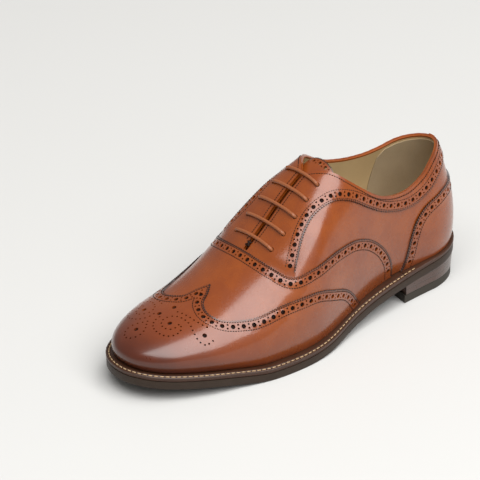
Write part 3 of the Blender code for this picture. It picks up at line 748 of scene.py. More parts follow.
def collar_edge(side):
    """The collar's edge on one side, from the heel seam to the rounded top of the facing."""
    turns = np.append(COLLAR["turn"], FACING_TOP)
    ups = np.append(COLLAR[side], up_at_width(FACING_TOP, SLIT_WIDTH / 2))
    return on_side(smooth(turns, ups), side)


def slit_edge(side, stop=SLIT_TURN):
    turns = np.linspace(FACING_TOP, stop, 60)
    return on_side(np.stack([turns, up_at_width(turns, SLIT_WIDTH / 2)], -1), side)


def strap_turn(extra):
    """The turn at which the back strap's side lies, with room beside it."""
    turns = np.linspace(0.001, 0.1, 400)
    return float(np.interp(STRAP_WIDTH / 2 + extra, last_line(turns)[0], turns))


vamp_points = section_point(*vamp_seam.T)
front_line = moved(vamp_seam, UNDER_VAMP)
near_vamp = vamp_seam[vamp_seam[:, 0] < 1]
eyelet_holes = ring(np.array([[turn, EYELET_UP] for turn in LACE_TURNS]), EYELET_HOLE, 12)


def facing_loops(side):
    """The loop of a facing, its pinked seam and its folded edge, all on the outer side or mirrored."""
    back = strap_turn(2 * GAP)
    seam = facing_seam[facing_seam[:, 0] > back]
    rim = on_side(collar_edge(side), side)
    rim = evenly(rim[rim[:, 0] > back], LOOP_STEP)
    front = front_line if side == "lateral" else other_side(front_line)[::-1]
    front = front[(front[:, 0] < 1) & (front[:, 1] < 0.985)]
    foot_spot = front[np.hypot(*(chart(front) - chart(seam[0])).T).argmin()]
    front = front[front[:, 1] > foot_spot[1]][::-1]
    slit_run = evenly(slit_edge("lateral", float(front[0, 0])), LOOP_STEP)
    teeth = pinked(seam)
    loop = closed_up(rim, slit_run, evenly(front, LOOP_STEP), teeth)
    return [on_side(line, side) for line in (loop, teeth, np.concatenate([rim, slit_run]))]


def facing_depths(folded, rows):
    """Top and bottom of a facing: rounded at its fold, and thinned where it slips under the vamp."""
    fold_points = section_point(*evenly(folded, 0.0006).T)
    pulled = dips(rows)

    def parts(spots):
        points = section_point(*spots.T)
        share = np.clip(nearest_distance(points, vamp_points) / SLOPE_UNDER, 0, 1)
        turn = spots[:, 0] if spots[0, 0] < 1 else 2 - spots[:, 0]
        behind = turn < np.interp(spots[:, 1], near_vamp[:, 1], near_vamp[:, 0])
        return points, np.where(behind, share * share * (3 - 2 * share), 0)

    def top(spots):
        points, share = parts(spots)
        fold = np.clip(1 - nearest_distance(points, fold_points) / FOLD, 0, 1) ** 2
        return UNDER_HIGH * (1 - share) - (FOLD_DROP * fold - pulled(spots)) * share

    def bottom(spots):
        share = parts(spots)[1]
        return UNDER_LOW * (1 - share) + FACING_LOW * share

    return bottom, top


facings = {}
facing_rows = {}
facing_tops = {}
for side in ("lateral", "medial"):
    loop, teeth, folded = facing_loops(side)
    seam = facing_seam if side == "lateral" else other_side(facing_seam)[::-1]
    rows = stitch_rows(seam)
    holes = [on_side(hole, side) for hole in facing_holes + eyelet_holes]
    bottom, top = facing_depths(folded, rows)
    facings[side] = leather("facing_" + side + "_punched", loop, holes, bottom, top, measure=teeth)
    facing_rows[side] = rows
    facing_tops[side] = top

# %% [markdown]
# ## Quarters and lining
# Below the facings the two quarters show between vamp and counter, and inside lies the lining. The source
# has both as one wall, which is split here into its outer and inner leather.

# %% Quarters and lining
SPLIT = QUARTER_FACE - 0.0008
SPLIT_CLEAR = 0.00003
top_loop = closed_up(
    evenly(collar_edge("lateral"), LOOP_STEP), evenly(slit_edge("lateral"), LOOP_STEP),
    evenly(slit_edge("medial"), LOOP_STEP)[::-1], evenly(collar_edge("medial"), LOOP_STEP)[::-1])
wall_holes = [top_loop]
for eyelet in eyelet_holes:
    wall_holes += [eyelet, other_side(eyelet)]
whole_feather = feather_run(0, 2)[:-1]
quarters = leather("quarters", whole_feather, wall_holes, at_depth(SPLIT), at_depth(QUARTER_FACE))
lining = leather("lining", whole_feather, wall_holes, at_depth(LINING_FACE), at_depth(SPLIT - SPLIT_CLEAR),
                 measure=evenly(top_loop, 0.0005))

# %% [markdown]
# ## Counter and back strap
# The counter wraps the heel, with its own pinked and punched edge, and a narrow strap covers the back seam
# from the counter up to the collar.

# %% Counter and back strap
HEEL_PANEL_LOW = -0.00117
STRAP_HIGH = 0.0001
STRAP_OVERLAP = 0.008
ACROSS_STEP = 0.0016
counter_rows = stitch_rows(counter_seam)
counter_dips = dips(counter_rows)
counter = punched("counter_punched", counter_seam, counter_holes,
                  at_depth(HEEL_PANEL_LOW), counter_dips, counter_rows)

half = strap_turn(0.0)
strap_low, strap_high = COUNTER_EDGE["up"][0] + STRAP_OVERLAP, COLLAR["lateral"][0]


def strap_climb(share, margin=0.0):
    """A run up the strap, at a share of its half width to one side."""
    turn = 2 + half * share
    return straight((turn, turn), (strap_low + margin, strap_high - margin), 40)


def strap_across(up):
    return straight((2 - half, 2 + half), (up, up), 40)


strap_loop = closed_up(
    evenly(strap_across(strap_low), ACROSS_STEP), evenly(strap_climb(1), LOOP_STEP),
    evenly(strap_across(strap_high)[::-1], ACROSS_STEP), evenly(strap_climb(-1)[::-1], LOOP_STEP))
back_strap = leather("back_strap_stitched", strap_loop, [], at_depth(HEEL_PANEL_LOW), at_depth(STRAP_HIGH))

# %% [markdown]
# ## Heel grip
# Inside the heel a patch of suede is sewn to the lining, so that the foot doesn't slip. Its front edge curves
# down from the collar on each side.

# %% Heel grip
GRIP = table("turn up", (0.236, 0.68), (0.256, 0.50), (0.268, 0.34), (0.268, 0.18), (0.258, 0.06))
GRIP_LOW = 0.06
GRIP_DEPTH = 0.0006
GRIP_UNDER_EDGE = 0.0030
GRIP_CLEAR = 0.00004


def grip_loop():
    """From the front edge on the outer side, round the heel below the collar, and back along the insole."""
    rim = collar_edge("lateral")
    other_rim = collar_edge("medial")
    rim = rim[rim[:, 0] < GRIP["turn"][0]]
    other_rim = other_rim[other_rim[:, 0] > 2 - GRIP["turn"][0]]
    top = evenly(np.concatenate([rim[::-1] + (2, 0), other_rim[1:]]), FINE_STEP)
    top = evenly(moved(top, -GRIP_UNDER_EDGE), LOOP_STEP)
    front = smooth(GRIP["turn"], GRIP["up"])
    front = evenly(front[front[:, 1] < top[0, 1] - 0.02], LATTICE_STEP)
    other_front = evenly(other_side(front), LATTICE_STEP)
    last_turn = GRIP["turn"][-1]
    low = evenly(straight((2 - last_turn, 2 + last_turn), (GRIP_LOW, GRIP_LOW), 200), FEATHER_STEP)
    return closed_up(top, other_front, low[1:-1], front[::-1] + (2, 0))


heel_grip = leather("heel_grip", grip_loop(), [], at_depth(LINING_FACE - GRIP_DEPTH),
                    at_depth(LINING_FACE - GRIP_CLEAR))

# %% [markdown]
# ## Tongue
# The tongue is sewn in at the slit's foot and rises above the facings, where its end is pinked and punched.

# %% Tongue
TONGUE_FRONT = 0.612
TONGUE_BACK = 0.440
TONGUE_SIDE = 0.60
TONGUE_RISE = 0.022
TONGUE_HOLES_IN = 0.0040
TONGUE_STEP = 0.003
tongue_side = smooth((TONGUE_FRONT, 0.60, 0.56, 0.50, 0.452, TONGUE_BACK),
                     (0.90, 0.80, 0.66, TONGUE_SIDE, TONGUE_SIDE, 0.70))
tongue_top = smooth((TONGUE_BACK, 0.4385, 0.438), (0.70, 0.86, NEAR_RIDGE))
tongue_tip = smooth((TONGUE_FRONT + 0.004, TONGUE_FRONT), (NEAR_RIDGE, 0.90))
tongue_end = evenly(np.concatenate([other_side(tongue_top), tongue_top[::-1]]), FINE_STEP)


def tongue_face(spots):
    """Rises to the lining at the front, where it is sewn."""
    turn = np.where(spots[:, 0] > 1, 2 - spots[:, 0], spots[:, 0])
    share = np.clip((turn - (SLIT_TURN - 0.004)) / TONGUE_RISE, 0, 1)
    return TONGUE_FACE + (LINING_FACE - GAP - TONGUE_FACE) * share * share * (3 - 2 * share)


tongue_teeth = pinked(tongue_end[::-1])
tongue_holes = brogue_row(beside(tongue_end[::-1], TONGUE_HOLES_IN), clear=(0.003, 0.003))
half_edge = np.concatenate([evenly(tongue_tip, TONGUE_STEP), evenly(tongue_side, TONGUE_STEP)])
tongue_loop = closed_up(half_edge[:-1], tongue_teeth, other_side(half_edge)[::-1][1:])
tongue = leather("tongue_pinked", tongue_loop, tongue_holes, lambda spots: tongue_face(spots) - TONGUE,
                 tongue_face, measure=tongue_teeth)

# %% [markdown]
# ## Stitches
# A stitch is a short fat thread sunk between two needle holes. One small capsule, made from an icosphere, is
# copied along every row, turned to the row and to the leather, and all copies of a thread are one mesh.

# %% Stitches
STITCH_PITCH = 0.00175
STITCH_LENGTH = 0.00135
THREAD = 0.00066
STRAP_SEWN = 0.72
SLIT_SEWN = 0.574
EDGE_STITCH_IN = 0.0022


def capsule(length, width):
    """A small blunt grain, long in X: its points and faces."""
    bm = bmesh.new()
    bmesh.ops.create_icosphere(bm, subdivisions=1, radius=width / 2)
    for vert in bm.verts:
        vert.co.x += np.sign(vert.co.x) * (length - width) / 2 if abs(vert.co.x) > width * 0.1 else 0
    points = np.array([vert.co for vert in bm.verts])
    faces = np.array([[vert.index for vert in face.verts] for face in bm.faces])
    bm.free()
    return points, faces


def copies(name, seed, centres, frames):
    """Copies of a seed as one mesh; each frame's rows are the copy's own axes."""
    points, faces = seed
    placed = np.einsum("pk,nkj->npj", points, frames) + centres[:, None]
    every = faces[None] + (np.arange(len(centres)) * len(points))[:, None, None]
    mesh = bpy.data.meshes.new(name)
    mesh.from_pydata(placed.reshape(-1, 3).tolist(), [], every.reshape(-1, faces.shape[1]).tolist())
    mesh.shade_smooth()
    obj = bpy.data.objects.new(name, mesh)
    bpy.context.collection.objects.link(obj)
    print(name, len(centres), "copies")
    return obj


def stitch_places(line, depth):
    """Centres and axes of stitches along a line, at a depth that is a function of spots."""
    spots = evenly(line, STITCH_PITCH)
    points = skin_point(spots, depth(spots))
    along = np.gradient(points, axis=0)
    along /= np.linalg.norm(along, axis=1, keepdims=True)
    normal = skin_normal(*spots.T)
    side = np.cross(normal, along)
    side /= np.linalg.norm(side, axis=1, keepdims=True)
    return points, np.stack([along, side, np.cross(along, side)], 1)


def sewn(name, rows):
    parts = [stitch_places(line, depth) for line, depth in rows]
    centres = np.concatenate([part[0] for part in parts])
    frames = np.concatenate([part[1] for part in parts])
    return copies(name, capsule(STITCH_LENGTH, THREAD), centres, frames)


dark_rows = [(line[1:-1], cap_top) for line in wing_rows]
dark_rows += [(line[1:-1], vamp_top) for line in vamp_rows]
dark_rows += [(line[1:-1], counter_dips) for line in counter_rows]
dark_rows += [(strap_climb(share, 0.01), at_depth(STRAP_HIGH)) for share in (STRAP_SEWN, -STRAP_SEWN)]
for side in ("lateral", "medial"):
    trim = slice(2, -4) if side == "lateral" else slice(4, -2)
    dark_rows += [(line[trim], facing_tops[side]) for line in facing_rows[side]]
    rim = on_side(collar_edge(side), side)
    rim = rim[rim[:, 0] > strap_turn(0.001)]
    folded_edge = evenly(np.concatenate([rim, slit_edge("lateral", SLIT_SEWN)[1:]]), 0.0010)
    dark_rows.append((on_side(moved(folded_edge, EDGE_STITCH_IN), side), facing_tops[side]))
dark_thread = sewn("dark_stitching", dark_rows)

# %% [markdown]
# ## Painted shade behind the holes
# A hole shows the layer beneath, tan leather in shade. That shade is painted, nearly black, so that the
# pattern reads from far off: a thin dark disc lies under every hole, copied like the stitches.

# %% Painted hole shade
DISC_OVER = 1.15
DISC_HALF = 0.0005
UNDER_CAP, UNDER_PANEL, UNDER_COUNTER, UNDER_FACING = 0.00001, -0.00105, -0.001185, -0.00114


def disc():
    bm = bmesh.new()
    bmesh.ops.create_cone(bm, cap_ends=True, cap_tris=True, segments=10, radius1=1, radius2=1, depth=0.02)
    points = np.array([vert.co for vert in bm.verts])
    bmesh.ops.triangulate(bm, faces=bm.faces)
    faces = np.array([[vert.index for vert in face.verts] for face in bm.faces])
    bm.free()
    return points, faces


def shade_disc_places(holes, depth):
    """Centres and scaled axes of the discs under holes."""
    corners = np.array([section_point(*hole[0]) for hole in holes])
    middles = np.array([section_point(*hole.T).mean(axis=0) for hole in holes])
    spots = settled(middles, np.array([hole[0] for hole in holes]))
    radius = np.linalg.norm(corners - middles, axis=1)[:, None, None] * DISC_OVER
    normal = skin_normal(*spots.T)
    along = np.cross(normal, (0, 0, 1))
    along /= np.linalg.norm(along, axis=1, keepdims=True)
    frames = np.stack([along, np.cross(normal, along), normal], 1)
    frames[:, :2] *= radius
    frames[:, 2] *= DISC_HALF
    return skin_point(spots, depth), frames


under_holes = (
    (wing_holes + medallion_holes, UNDER_CAP), (vamp_holes, UNDER_PANEL), (counter_holes, UNDER_COUNTER),
    (facing_holes, UNDER_FACING), ([other_side(hole) for hole in facing_holes], UNDER_FACING),
)
# Each disc is painted shade: the dark inside a hole, whose floor is really tan leather.
centres, frames = zip(*[shade_disc_places(holes, depth) for holes, depth in under_holes])
hole_shade_discs = copies("hole_painted_shade", disc(), np.concatenate(centres), np.concatenate(frames))

# %% [markdown]
# ## Sole, welt and heel
# The bottom of the shoe is stacked plates. A capped circle is laid on the sole's outline, cut across so that
# it can bend, extruded and bevelled, and then every height follows the arch and the toe's spring.


# %% Plates under the foot
def sole_line(turn, inset=0.0):
    """The welt's outer edge from above, drawn in by `inset`."""
    return last_line(turn, row(WELT_LINE, "reach", share_along(turn)) * WELT_REACH - inset)


def insole_line(turn, inset=0.0):
    """The insole's edge: inside the tucked wall of the upper."""
    tuck = row(LAST, "tuck", share_along(turn)) * BALL_WIDTH
    return last_line(turn, LINING_FACE - tuck - INSOLE_MARGIN - inset)


def breast_turn(clear=0.0):
    """The turn at which the heel's front face lies."""
    return float(np.arccos(1 - 2 * (HEEL_LENGTH + clear) / LAST_LENGTH) / np.pi)


RUNG = 0.005
BREAST_POINTS = 24
EDGE_INSET = 0.0006


def laid_out(bm, line, sides, stop, inset, hollow, back, front):
    """A filled outline from the heel to `stop`, cut across, with a straight or hollowed breast."""
    bmesh.ops.create_circle(bm, cap_ends=True, segments=sides, radius=1)
    bm.verts.ensure_lookup_table()
    breast_points = 0 if stop == 1.0 else BREAST_POINTS
    turns = np.linspace(-stop, stop, sides - breast_points, endpoint=breast_points > 0)
    x, s = line(np.mod(turns, 2), inset)
    for vert, x_here, s_here in zip(bm.verts, x, s):
        vert.co = (x_here, HEEL_CENTRE - s_here, 0)
    for i in range(breast_points):
        share = (i + 1) / (breast_points + 1)
        across = x[-1] + (x[0] - x[-1]) * share
        y = HEEL_CENTRE - s[-1] + hollow * 4 * share * (1 - share)
        bm.verts[sides - breast_points + i].co = (across, y, 0)
    for y in np.arange(front, back, RUNG):
        geom = bm.verts[:] + bm.edges[:] + bm.faces[:]
        bmesh.ops.bisect_plane(bm, geom=geom, plane_co=(0, y, 0), plane_no=(0, 1, 0), dist=1e-6)


def plate(name, line, low, thick, stop=1.0, inset=0.0, bevel=0.0006, hollow=0.0):
    """A plate of one thickness, from the heel to `stop`, on a floor given by the function low(share)."""
    bm = bmesh.new()
    laid_out(bm, line, 240, stop, inset, hollow, back=0.04, front=-0.26)
    raised = bmesh.ops.extrude_face_region(bm, geom=bm.faces[:])["geom"]
    for item in raised:
        if isinstance(item, bmesh.types.BMVert):
            item.co.z = thick
    bmesh.ops.recalc_face_normals(bm, faces=bm.faces)
    rim = [edge for edge in bm.edges if len(edge.link_faces) == 2
           and abs(edge.link_faces[0].normal.z - edge.link_faces[1].normal.z) > 0.9]
    bmesh.ops.bevel(bm, geom=rim, offset=bevel, offset_type="OFFSET", segments=3, profile=0.5,
                    affect="EDGES", material=-1, clamp_overlap=True)
    for vert in bm.verts:
        vert.co.z += float(low(share_at(HEEL_CENTRE - vert.co.y)))
    return mesh_object(name, bm)


def closed_strip(name, start, stop, profile, low):
    """A strip with a closed section, swept from one turn to another."""
    insets, heights = np.array(profile).T
    bm = bmesh.new()
    mark = bm.verts.layers.float.new("turn")
    column = bm.verts.layers.int.new("column")
    corners = [bm.verts.new((inset, 0, height)) for inset, height in profile]
    bottom = bm.faces.new(corners)
    rungs = int(220 * (stop - start))
    for i, vert in enumerate(corners):
        vert[mark] = start
        vert[column] = i
    for rung in range(1, rungs + 1):
        made = bmesh.ops.extrude_face_region(bm, geom=[bottom], use_keep_orig=rung == 1)["geom"]
        bottom = next(item for item in made if isinstance(item, bmesh.types.BMFace))
        for item in made:
            if isinstance(item, bmesh.types.BMVert):
                item[mark] = start + (stop - start) * rung / rungs
    for vert in bm.verts:
        x, s = sole_line(vert[mark], insets[vert[column]])
        vert.co = (x, HEEL_CENTRE - s, float(low(share_at(s))) + heights[vert[column]])
    return mesh_object(name, bm, smooth_angle=35)


breast = breast_turn()
side_clear = 0.0001 / LAST_LENGTH
WELT_PROFILE = (
    (WELT_INSIDE, 0.0), (0.0006, 0.0), (0.0001, 0.0005), (0.0003, 0.0011), (0.0003, 0.0013), (0.0, 0.0018),
    (0.0, 0.0026), (0.0005, 0.0031), (0.0011, 0.0030), (0.0015, 0.0025), (0.0028, 0.0024), (0.0033, 0.0029),
    (WELT_INSIDE, 0.0030),
)
RAND_PROFILE = (
    (WELT_INSIDE, 0.0), (0.0006, 0.0), (0.0, 0.0006), (0.0, 0.0024), (0.0006, 0.0030), (WELT_INSIDE, 0.0030),
)


def welt_floor(along):
    return floor_line(along) + OUTSOLE + GAP


welt = closed_strip("welt_stitched", breast + side_clear, 2 - breast - side_clear, WELT_PROFILE, welt_floor)
rand = closed_strip("heel_rand_trim", 2 - breast + side_clear, 2 + breast - side_clear,
                    RAND_PROFILE, welt_floor)
outsole = plate("outsole_leather", sole_line, floor_line, OUTSOLE, inset=0.0003)
insole = plate("insole_sock", insole_line, lambda along: feather_line(along) + GAP, INSOLE, bevel=0.0005)
top_piece = plate("top_piece_rubber", sole_line, lambda along: 0.0 * along, TOP_PIECE, stop=breast,
                  inset=HEEL_TAPER + EDGE_INSET, hollow=BREAST_HOLLOW)

HEEL_FLOOR = TOP_PIECE + GAP
HEEL_HIGH = 0.031
HEEL_STEPS = 12


def heel_block():
    """The stacked heel: one block whose sides lean in a little towards the floor."""
    bm = bmesh.new()
    level = bm.verts.layers.float.new("level")
    laid_out(bm, sole_line, 200, breast, EDGE_INSET, BREAST_HOLLOW, back=0.034, front=-0.034)
    faces = bm.faces[:]
    for step in range(1, HEEL_STEPS + 1):
        made = bmesh.ops.extrude_face_region(bm, geom=faces, use_keep_orig=step == 1)["geom"]
        faces = [item for item in made if isinstance(item, bmesh.types.BMFace)]
        for item in made:
            if isinstance(item, bmesh.types.BMVert):
                item[level] = step / HEEL_STEPS
    for vert in bm.verts:
        share = vert[level]
        shrink = 1 - (1 - share) * HEEL_TAPER / HEEL_HIGH
        top = float(floor_line(share_at(HEEL_CENTRE - vert.co.y))) - GAP
        vert.co = (vert.co.x * shrink, vert.co.y * shrink, HEEL_FLOOR + (top - HEEL_FLOOR) * share)
    return mesh_object("heel_stack_lifts", bm)


heel = heel_block()


# %% [markdown]
# ## Welt stitching
# The welt is lock-stitched to the outsole with thick pale thread, from one end of the heel round the toe to
# the other. Each stitch lies in the groove of the welt's top.

# %% Welt stitches
WELT_PITCH = 0.0038
WELT_STITCH = 0.0030
WELT_THREAD = 0.00095
OVER_HEEL = 0.023
GROOVE_IN = 0.0021
GROOVE_UP = 0.00272
RAND_UP = 0.00020


def welt_stitches():
    turns = np.linspace(breast - OVER_HEEL, 2 - breast + OVER_HEEL, 4000)
    x, s = sole_line(turns, GROOVE_IN)
    raised = np.where((turns < breast) | (turns > 2 - breast), RAND_UP, 0.0)
    line = np.stack([x, HEEL_CENTRE - s, welt_floor(share_at(s)) + GROOVE_UP + raised], -1)
    run = lengths(line)
    at = np.arange(0, run[-1], WELT_PITCH)
    centres = np.stack([np.interp(at, run, axis) for axis in line.T], -1)
    along = np.gradient(centres, axis=0)
    along /= np.linalg.norm(along, axis=1, keepdims=True)
    side = np.cross((0, 0, 1), along)
    side /= np.linalg.norm(side, axis=1, keepdims=True)
    return copies("welt_stitching", capsule(WELT_STITCH, WELT_THREAD), centres,
                  np.stack([along, side, np.cross(along, side)], 1))


welt_thread = welt_stitches()


# %% [markdown]
# ## The lace
# One round waxed lace makes five straight bars. It dives through an eyelet at each bar's end, runs hidden
# under the facing to the next, and both of its ends stop, hidden, beside the top eyelets.

# %% Lace
LACE_OVER = LACE / 2 + 0.0001
LACE_UNDER = (LINING_FACE + TONGUE_FACE) / 2
LACE_STEP = 0.0012
LACE_STATIONS = (
    (EYELET_UP - 0.002, LACE_UNDER + 0.0008), (EYELET_UP, QUARTER_FACE),
    (EYELET_UP + 0.006, LACE_OVER - 0.0003), (EYELET_UP + 0.03, LACE_OVER), (0.91, LACE_OVER), (0.96, LACE_OVER),
)


def eased(points):
    """A smooth line through chosen points in space."""
    points = np.array(points)
    run = lengths(points)
    knots = {"along": run, "x": points[:, 0], "y": points[:, 1], "z": points[:, 2]}
    fine = np.linspace(0, run[-1], int(run[-1] / LACE_STEP))
    return np.stack([row(knots, axis, fine) for axis in "xyz"], -1)


def lace_route():
    """Chosen points of the lace: a hidden start, five bars with hidden runs between, and a hidden end."""
    points = []

    def put(turn, up, depth):
        points.append(skin_point(np.array([[turn, up]]), depth)[0])

    def put_on(side, turn, up, depth):
        put(turn if side == "lateral" else 2 - turn, up, depth)

    put(LACE_TURNS[0] - 0.006, EYELET_UP - 0.07, LACE_UNDER)
    put(LACE_TURNS[0] - 0.003, EYELET_UP - 0.035, LACE_UNDER)
    here, there = "lateral", "medial"
    for i, turn in enumerate(LACE_TURNS):
        for up, depth in LACE_STATIONS:
            put_on(here, turn, up, depth)
        put_on(here, turn, 1.0, LACE_OVER)
        for up, depth in LACE_STATIONS[::-1]:
            put_on(there, turn, up, depth)
        here, there = there, here
        if i + 1 < len(LACE_TURNS):
            for share in (0.3, 0.7):
                put_on(here, turn + (LACE_TURNS[i + 1] - turn) * share, EYELET_UP - 0.006, LACE_UNDER)
    for turn in np.linspace(LACE_TURNS[-1], LACE_TURNS[0], 7):
        put_on(here, turn, EYELET_UP - 0.06, LACE_UNDER)
    return points


def swept(name, points, radius):
    """A round cord along points, as a mesh with a UV map along and round it."""
    data = bpy.data.curves.new(name, "CURVE")
    data.dimensions = "3D"
    data.bevel_depth = radius
    data.bevel_resolution = 4
    data.use_fill_caps = True
    spline = data.splines.new("POLY")
    spline.points.add(len(points) - 1)
    for target, point in zip(spline.points, points):
        target.co = (*point, 1)
    guide = bpy.data.objects.new(name + "_guide", data)
    bpy.context.collection.objects.link(guide)
    mesh = bpy.data.meshes.new_from_object(guide.evaluated_get(bpy.context.evaluated_depsgraph_get()))
    bpy.data.objects.remove(guide)
    mesh.name = name
    mesh.shade_smooth()
    obj = bpy.data.objects.new(name, mesh)
    bpy.context.collection.objects.link(obj)
    return obj


lace_line = eased(lace_route())
lace = swept("lace_waxed", lace_line, LACE / 2)
lace_length = round(lengths(lace_line)[-1] * 1000)
print("lace of", lace_length, "mm,", len(lace.data.polygons), "faces, uv", len(lace.data.uv_layers))

# %% [markdown]
# ## Bar tack
# A small cross of heavy thread stops the slit from tearing.

# %% Bar tack
TACK_TURN = 0.5795
TACK_HALF = 0.0027
TACK_THREAD = 0.0010
TACK_UP = 0.0002


def bar_tack():
    centre = np.array([[TACK_TURN, NEAR_RIDGE]])
    point = skin_point(centre, TACK_UP)[0]
    normal = skin_normal(*centre.T)[0]
    frames, centres = [], []
    for angle in np.radians((45, -45, 0)):
        along = np.array([np.sin(angle), np.cos(angle), 0])
        along -= normal * (along @ normal)
        along /= np.linalg.norm(along)
        side = np.cross(normal, along)
        frames.append([along, side, normal])
        centres.append(point)
    return copies("bar_tack", capsule(2 * TACK_HALF, TACK_THREAD), np.array(centres), np.array(frames))


tack = bar_tack()


# %% [markdown]
# ## Shader maths as plain expressions
# One small class wraps a socket. Its operators add Math nodes, so a mask is written the way it is thought,
# and `add` makes any other node from its type, its settings and the values of its sockets.

# %% Socket class
class Shade:
    def __init__(self, tree, socket):
        self.tree = tree
        self.socket = socket

    def math(self, operation, *others, swap=False, clamp=False):
        node = self.tree.nodes.new("ShaderNodeMath")
        node.operation = operation
        node.use_clamp = clamp
        values = [self, *others]
        if swap:
            values = values[::-1]
        for place, value in zip(node.inputs, values):
            if isinstance(value, Shade):
                self.tree.links.new(value.socket, place)
            else:
                place.default_value = value
        return Shade(self.tree, node.outputs[0])

    def __add__(self, other):
        return self.math("ADD", other)

    def __radd__(self, other):
        return self.math("ADD", other)

    def __sub__(self, other):
        return self.math("SUBTRACT", other)

    def __rsub__(self, other):
        return self.math("SUBTRACT", other, swap=True)

    def __mul__(self, other):
        return self.math("MULTIPLY", other)

    def __truediv__(self, other):
        return self.math("DIVIDE", other)

    def clipped(self):
        return self.math("ADD", 0.0, clamp=True)

    def between(self, low, high):
        """0 below low, 1 above high, a straight ramp between."""
        return ((self - low) / (high - low)).clipped()


class Finish:
    """A material's node tree, with one method that makes any node."""
    def __init__(self, name, **constants):
        self.material = bpy.data.materials.new(name)
        self.material.use_nodes = True
        self.tree = self.material.node_tree
        self.shader = self.tree.nodes["Principled BSDF"]
        for socket, value in constants.items():
            self.shader.inputs[socket.replace("_", " ")].default_value = value

    def add(self, kind, output=0, settings=(), **sockets):
        node = self.tree.nodes.new("ShaderNode" + kind)
        for setting, value in dict(settings).items():
            setattr(node, setting, value)
        for name, value in sockets.items():
            place = node.inputs[int(name[1:])] if name[1:].isdigit() else node.inputs[name.replace("_", " ")]
            if isinstance(value, Shade):
                self.tree.links.new(value.socket, place)
            else:
                place.default_value = value
        return Shade(self.tree, node.outputs[output])

    def place(self):
        return self.add("TexCoord", "Object")

    def axes(self):
        split = self.add("SeparateXYZ", _0=self.place())
        return [Shade(self.tree, split.socket.node.outputs[i]) for i in range(3)]

    def noise(self, scale, detail=3.0, roughness=0.5):
        return self.add("TexNoise", "Fac", Vector=self.place(), Scale=scale, Detail=detail, Roughness=roughness)

    def cells(self, scale):
        return self.add("TexVoronoi", "Distance", {"feature": "F1"}, Vector=self.place(), Scale=scale)

    def mixed(self, share, one, two):
        return self.add("Mix", 2, {"data_type": "RGBA"}, _0=share, _6=one, _7=two)

    def wire(self, socket, value):
        self.tree.links.new(value.socket, self.shader.inputs[socket])

    def bump(self, height, strength, distance):
        self.wire("Normal", self.add("Bump", 0, Strength=strength, Distance=distance, Height=height))

    def onto(self, *objects):
        for obj in objects:
            obj.data.materials.clear()
            obj.data.materials.append(self.material)
        return self


# %% [markdown]
# ## Burnished calf
# Antiqued calf is a warm tan, rubbed darker at the toe, the heel and along the welt, with a cloudy patina.
# Its pinked edges carry a thin dark line, partly edge dye and partly painted shadow of the cut edge.
# Its grain is too fine to model, so it is a bump of small cells over a softer one, under a clear polish coat.

# %% Leather finishes
TAN = (0.200, 0.039, 0.004, 1)
BRIGHT_TAN = (0.265, 0.059, 0.006, 1)
DEEP_TAN = (0.115, 0.017, 0.003, 1)
BURNT = (0.036, 0.006, 0.002, 1)
EDGE_INK_AND_SHADE = (0.008, 0.003, 0.002, 1)


def calf(name, burnish=1.0, edge_dark=0.9, rough=0.27, coat=0.55):
    finish = Finish(name, Coat_Weight=coat, Coat_Roughness=0.15, Specular_IOR_Level=0.46)
    _, y, z = finish.axes()
    cloud = finish.noise(38.0, 4.0, 0.6)
    patch = finish.noise(120.0, 3.0, 0.55)
    tone = finish.mixed((cloud - 0.32) * 2.2, TAN, BRIGHT_TAN)
    tone = finish.mixed(((patch - 0.45) * 1.6).clipped() * 0.5, tone, DEEP_TAN)
    toe = (0.0 - y).between(0.168, 0.250)
    heel = y.between(0.004, 0.034) * (1.0 - z.between(0.060, 0.110))
    low = 1.0 - z.between(0.008, 0.040)
    dark = ((toe * 0.75 + heel * 0.55 + low * 0.45) * (0.65 + cloud * 0.7) * burnish).clipped()
    tone = finish.mixed(dark * 0.85, tone, DEEP_TAN)
    tone = finish.mixed((dark - 0.55).clipped() * 1.4, tone, BURNT)
    # Dark line along the pinked edge and its wall: partly edge dye, partly painted shadow of the teeth.
    seam = finish.add("Attribute", "Fac", {"attribute_name": "seam"})
    tone = finish.mixed((1.0 - seam.between(0.0, 0.20)) * 0.25, tone, BURNT)
    tone = finish.mixed((1.0 - seam.between(0.010, 0.045)) * edge_dark, tone, EDGE_INK_AND_SHADE)
    finish.wire("Base Color", tone)
    finish.wire("Roughness", rough + (patch - 0.5) * 0.16 + dark * 0.04)
    grain = finish.cells(1500.0)
    soft = finish.noise(420.0, 3.0)
    finish.bump(grain * 0.35 + soft * 0.65, 0.10, 0.0006)
    return finish


calf("tan_calf").onto(quarters)
calf("facing_calf", burnish=0.8).onto(facings["lateral"], facings["medial"])
calf("vamp_calf", burnish=0.85).onto(vamp)
calf("toe_calf", burnish=1.15).onto(wing_cap)
calf("heel_calf", burnish=1.1).onto(counter, back_strap)
calf("tongue_calf", burnish=0.8, rough=0.42, coat=0.25).onto(tongue)


def soft_leather(name, one, two, rough, scale, folded=0.0):
    finish = Finish(name, Specular_IOR_Level=0.35)
    cloud = finish.noise(scale, 4.0, 0.6)
    fine = finish.noise(900.0, 3.0)
    tone = finish.mixed(cloud, one, two)
    if folded:
        seam = finish.add("Attribute", "Fac", {"attribute_name": "seam"})
        tone = finish.mixed(1.0 - seam.between(folded, folded + 0.03), tone, BRIGHT_TAN)
    finish.wire("Base Color", tone)
    finish.wire("Roughness", rough + (fine - 0.5) * 0.2)
    finish.bump(fine * 0.6 + finish.cells(1100.0) * 0.4, 0.25, 0.0005)
    return finish


lining_look = soft_leather("lining_leather", (0.46, 0.32, 0.155, 1), (0.53, 0.38, 0.195, 1),
                           0.5, 60.0, folded=0.13)
lining_look.onto(lining)
soft_leather("grip_suede", (0.34, 0.255, 0.150, 1), (0.43, 0.330, 0.205, 1), 0.8, 90.0).onto(heel_grip)
soft_leather("sock_leather", (0.46, 0.32, 0.165, 1), (0.53, 0.38, 0.205, 1), 0.55, 50.0).onto(insole)


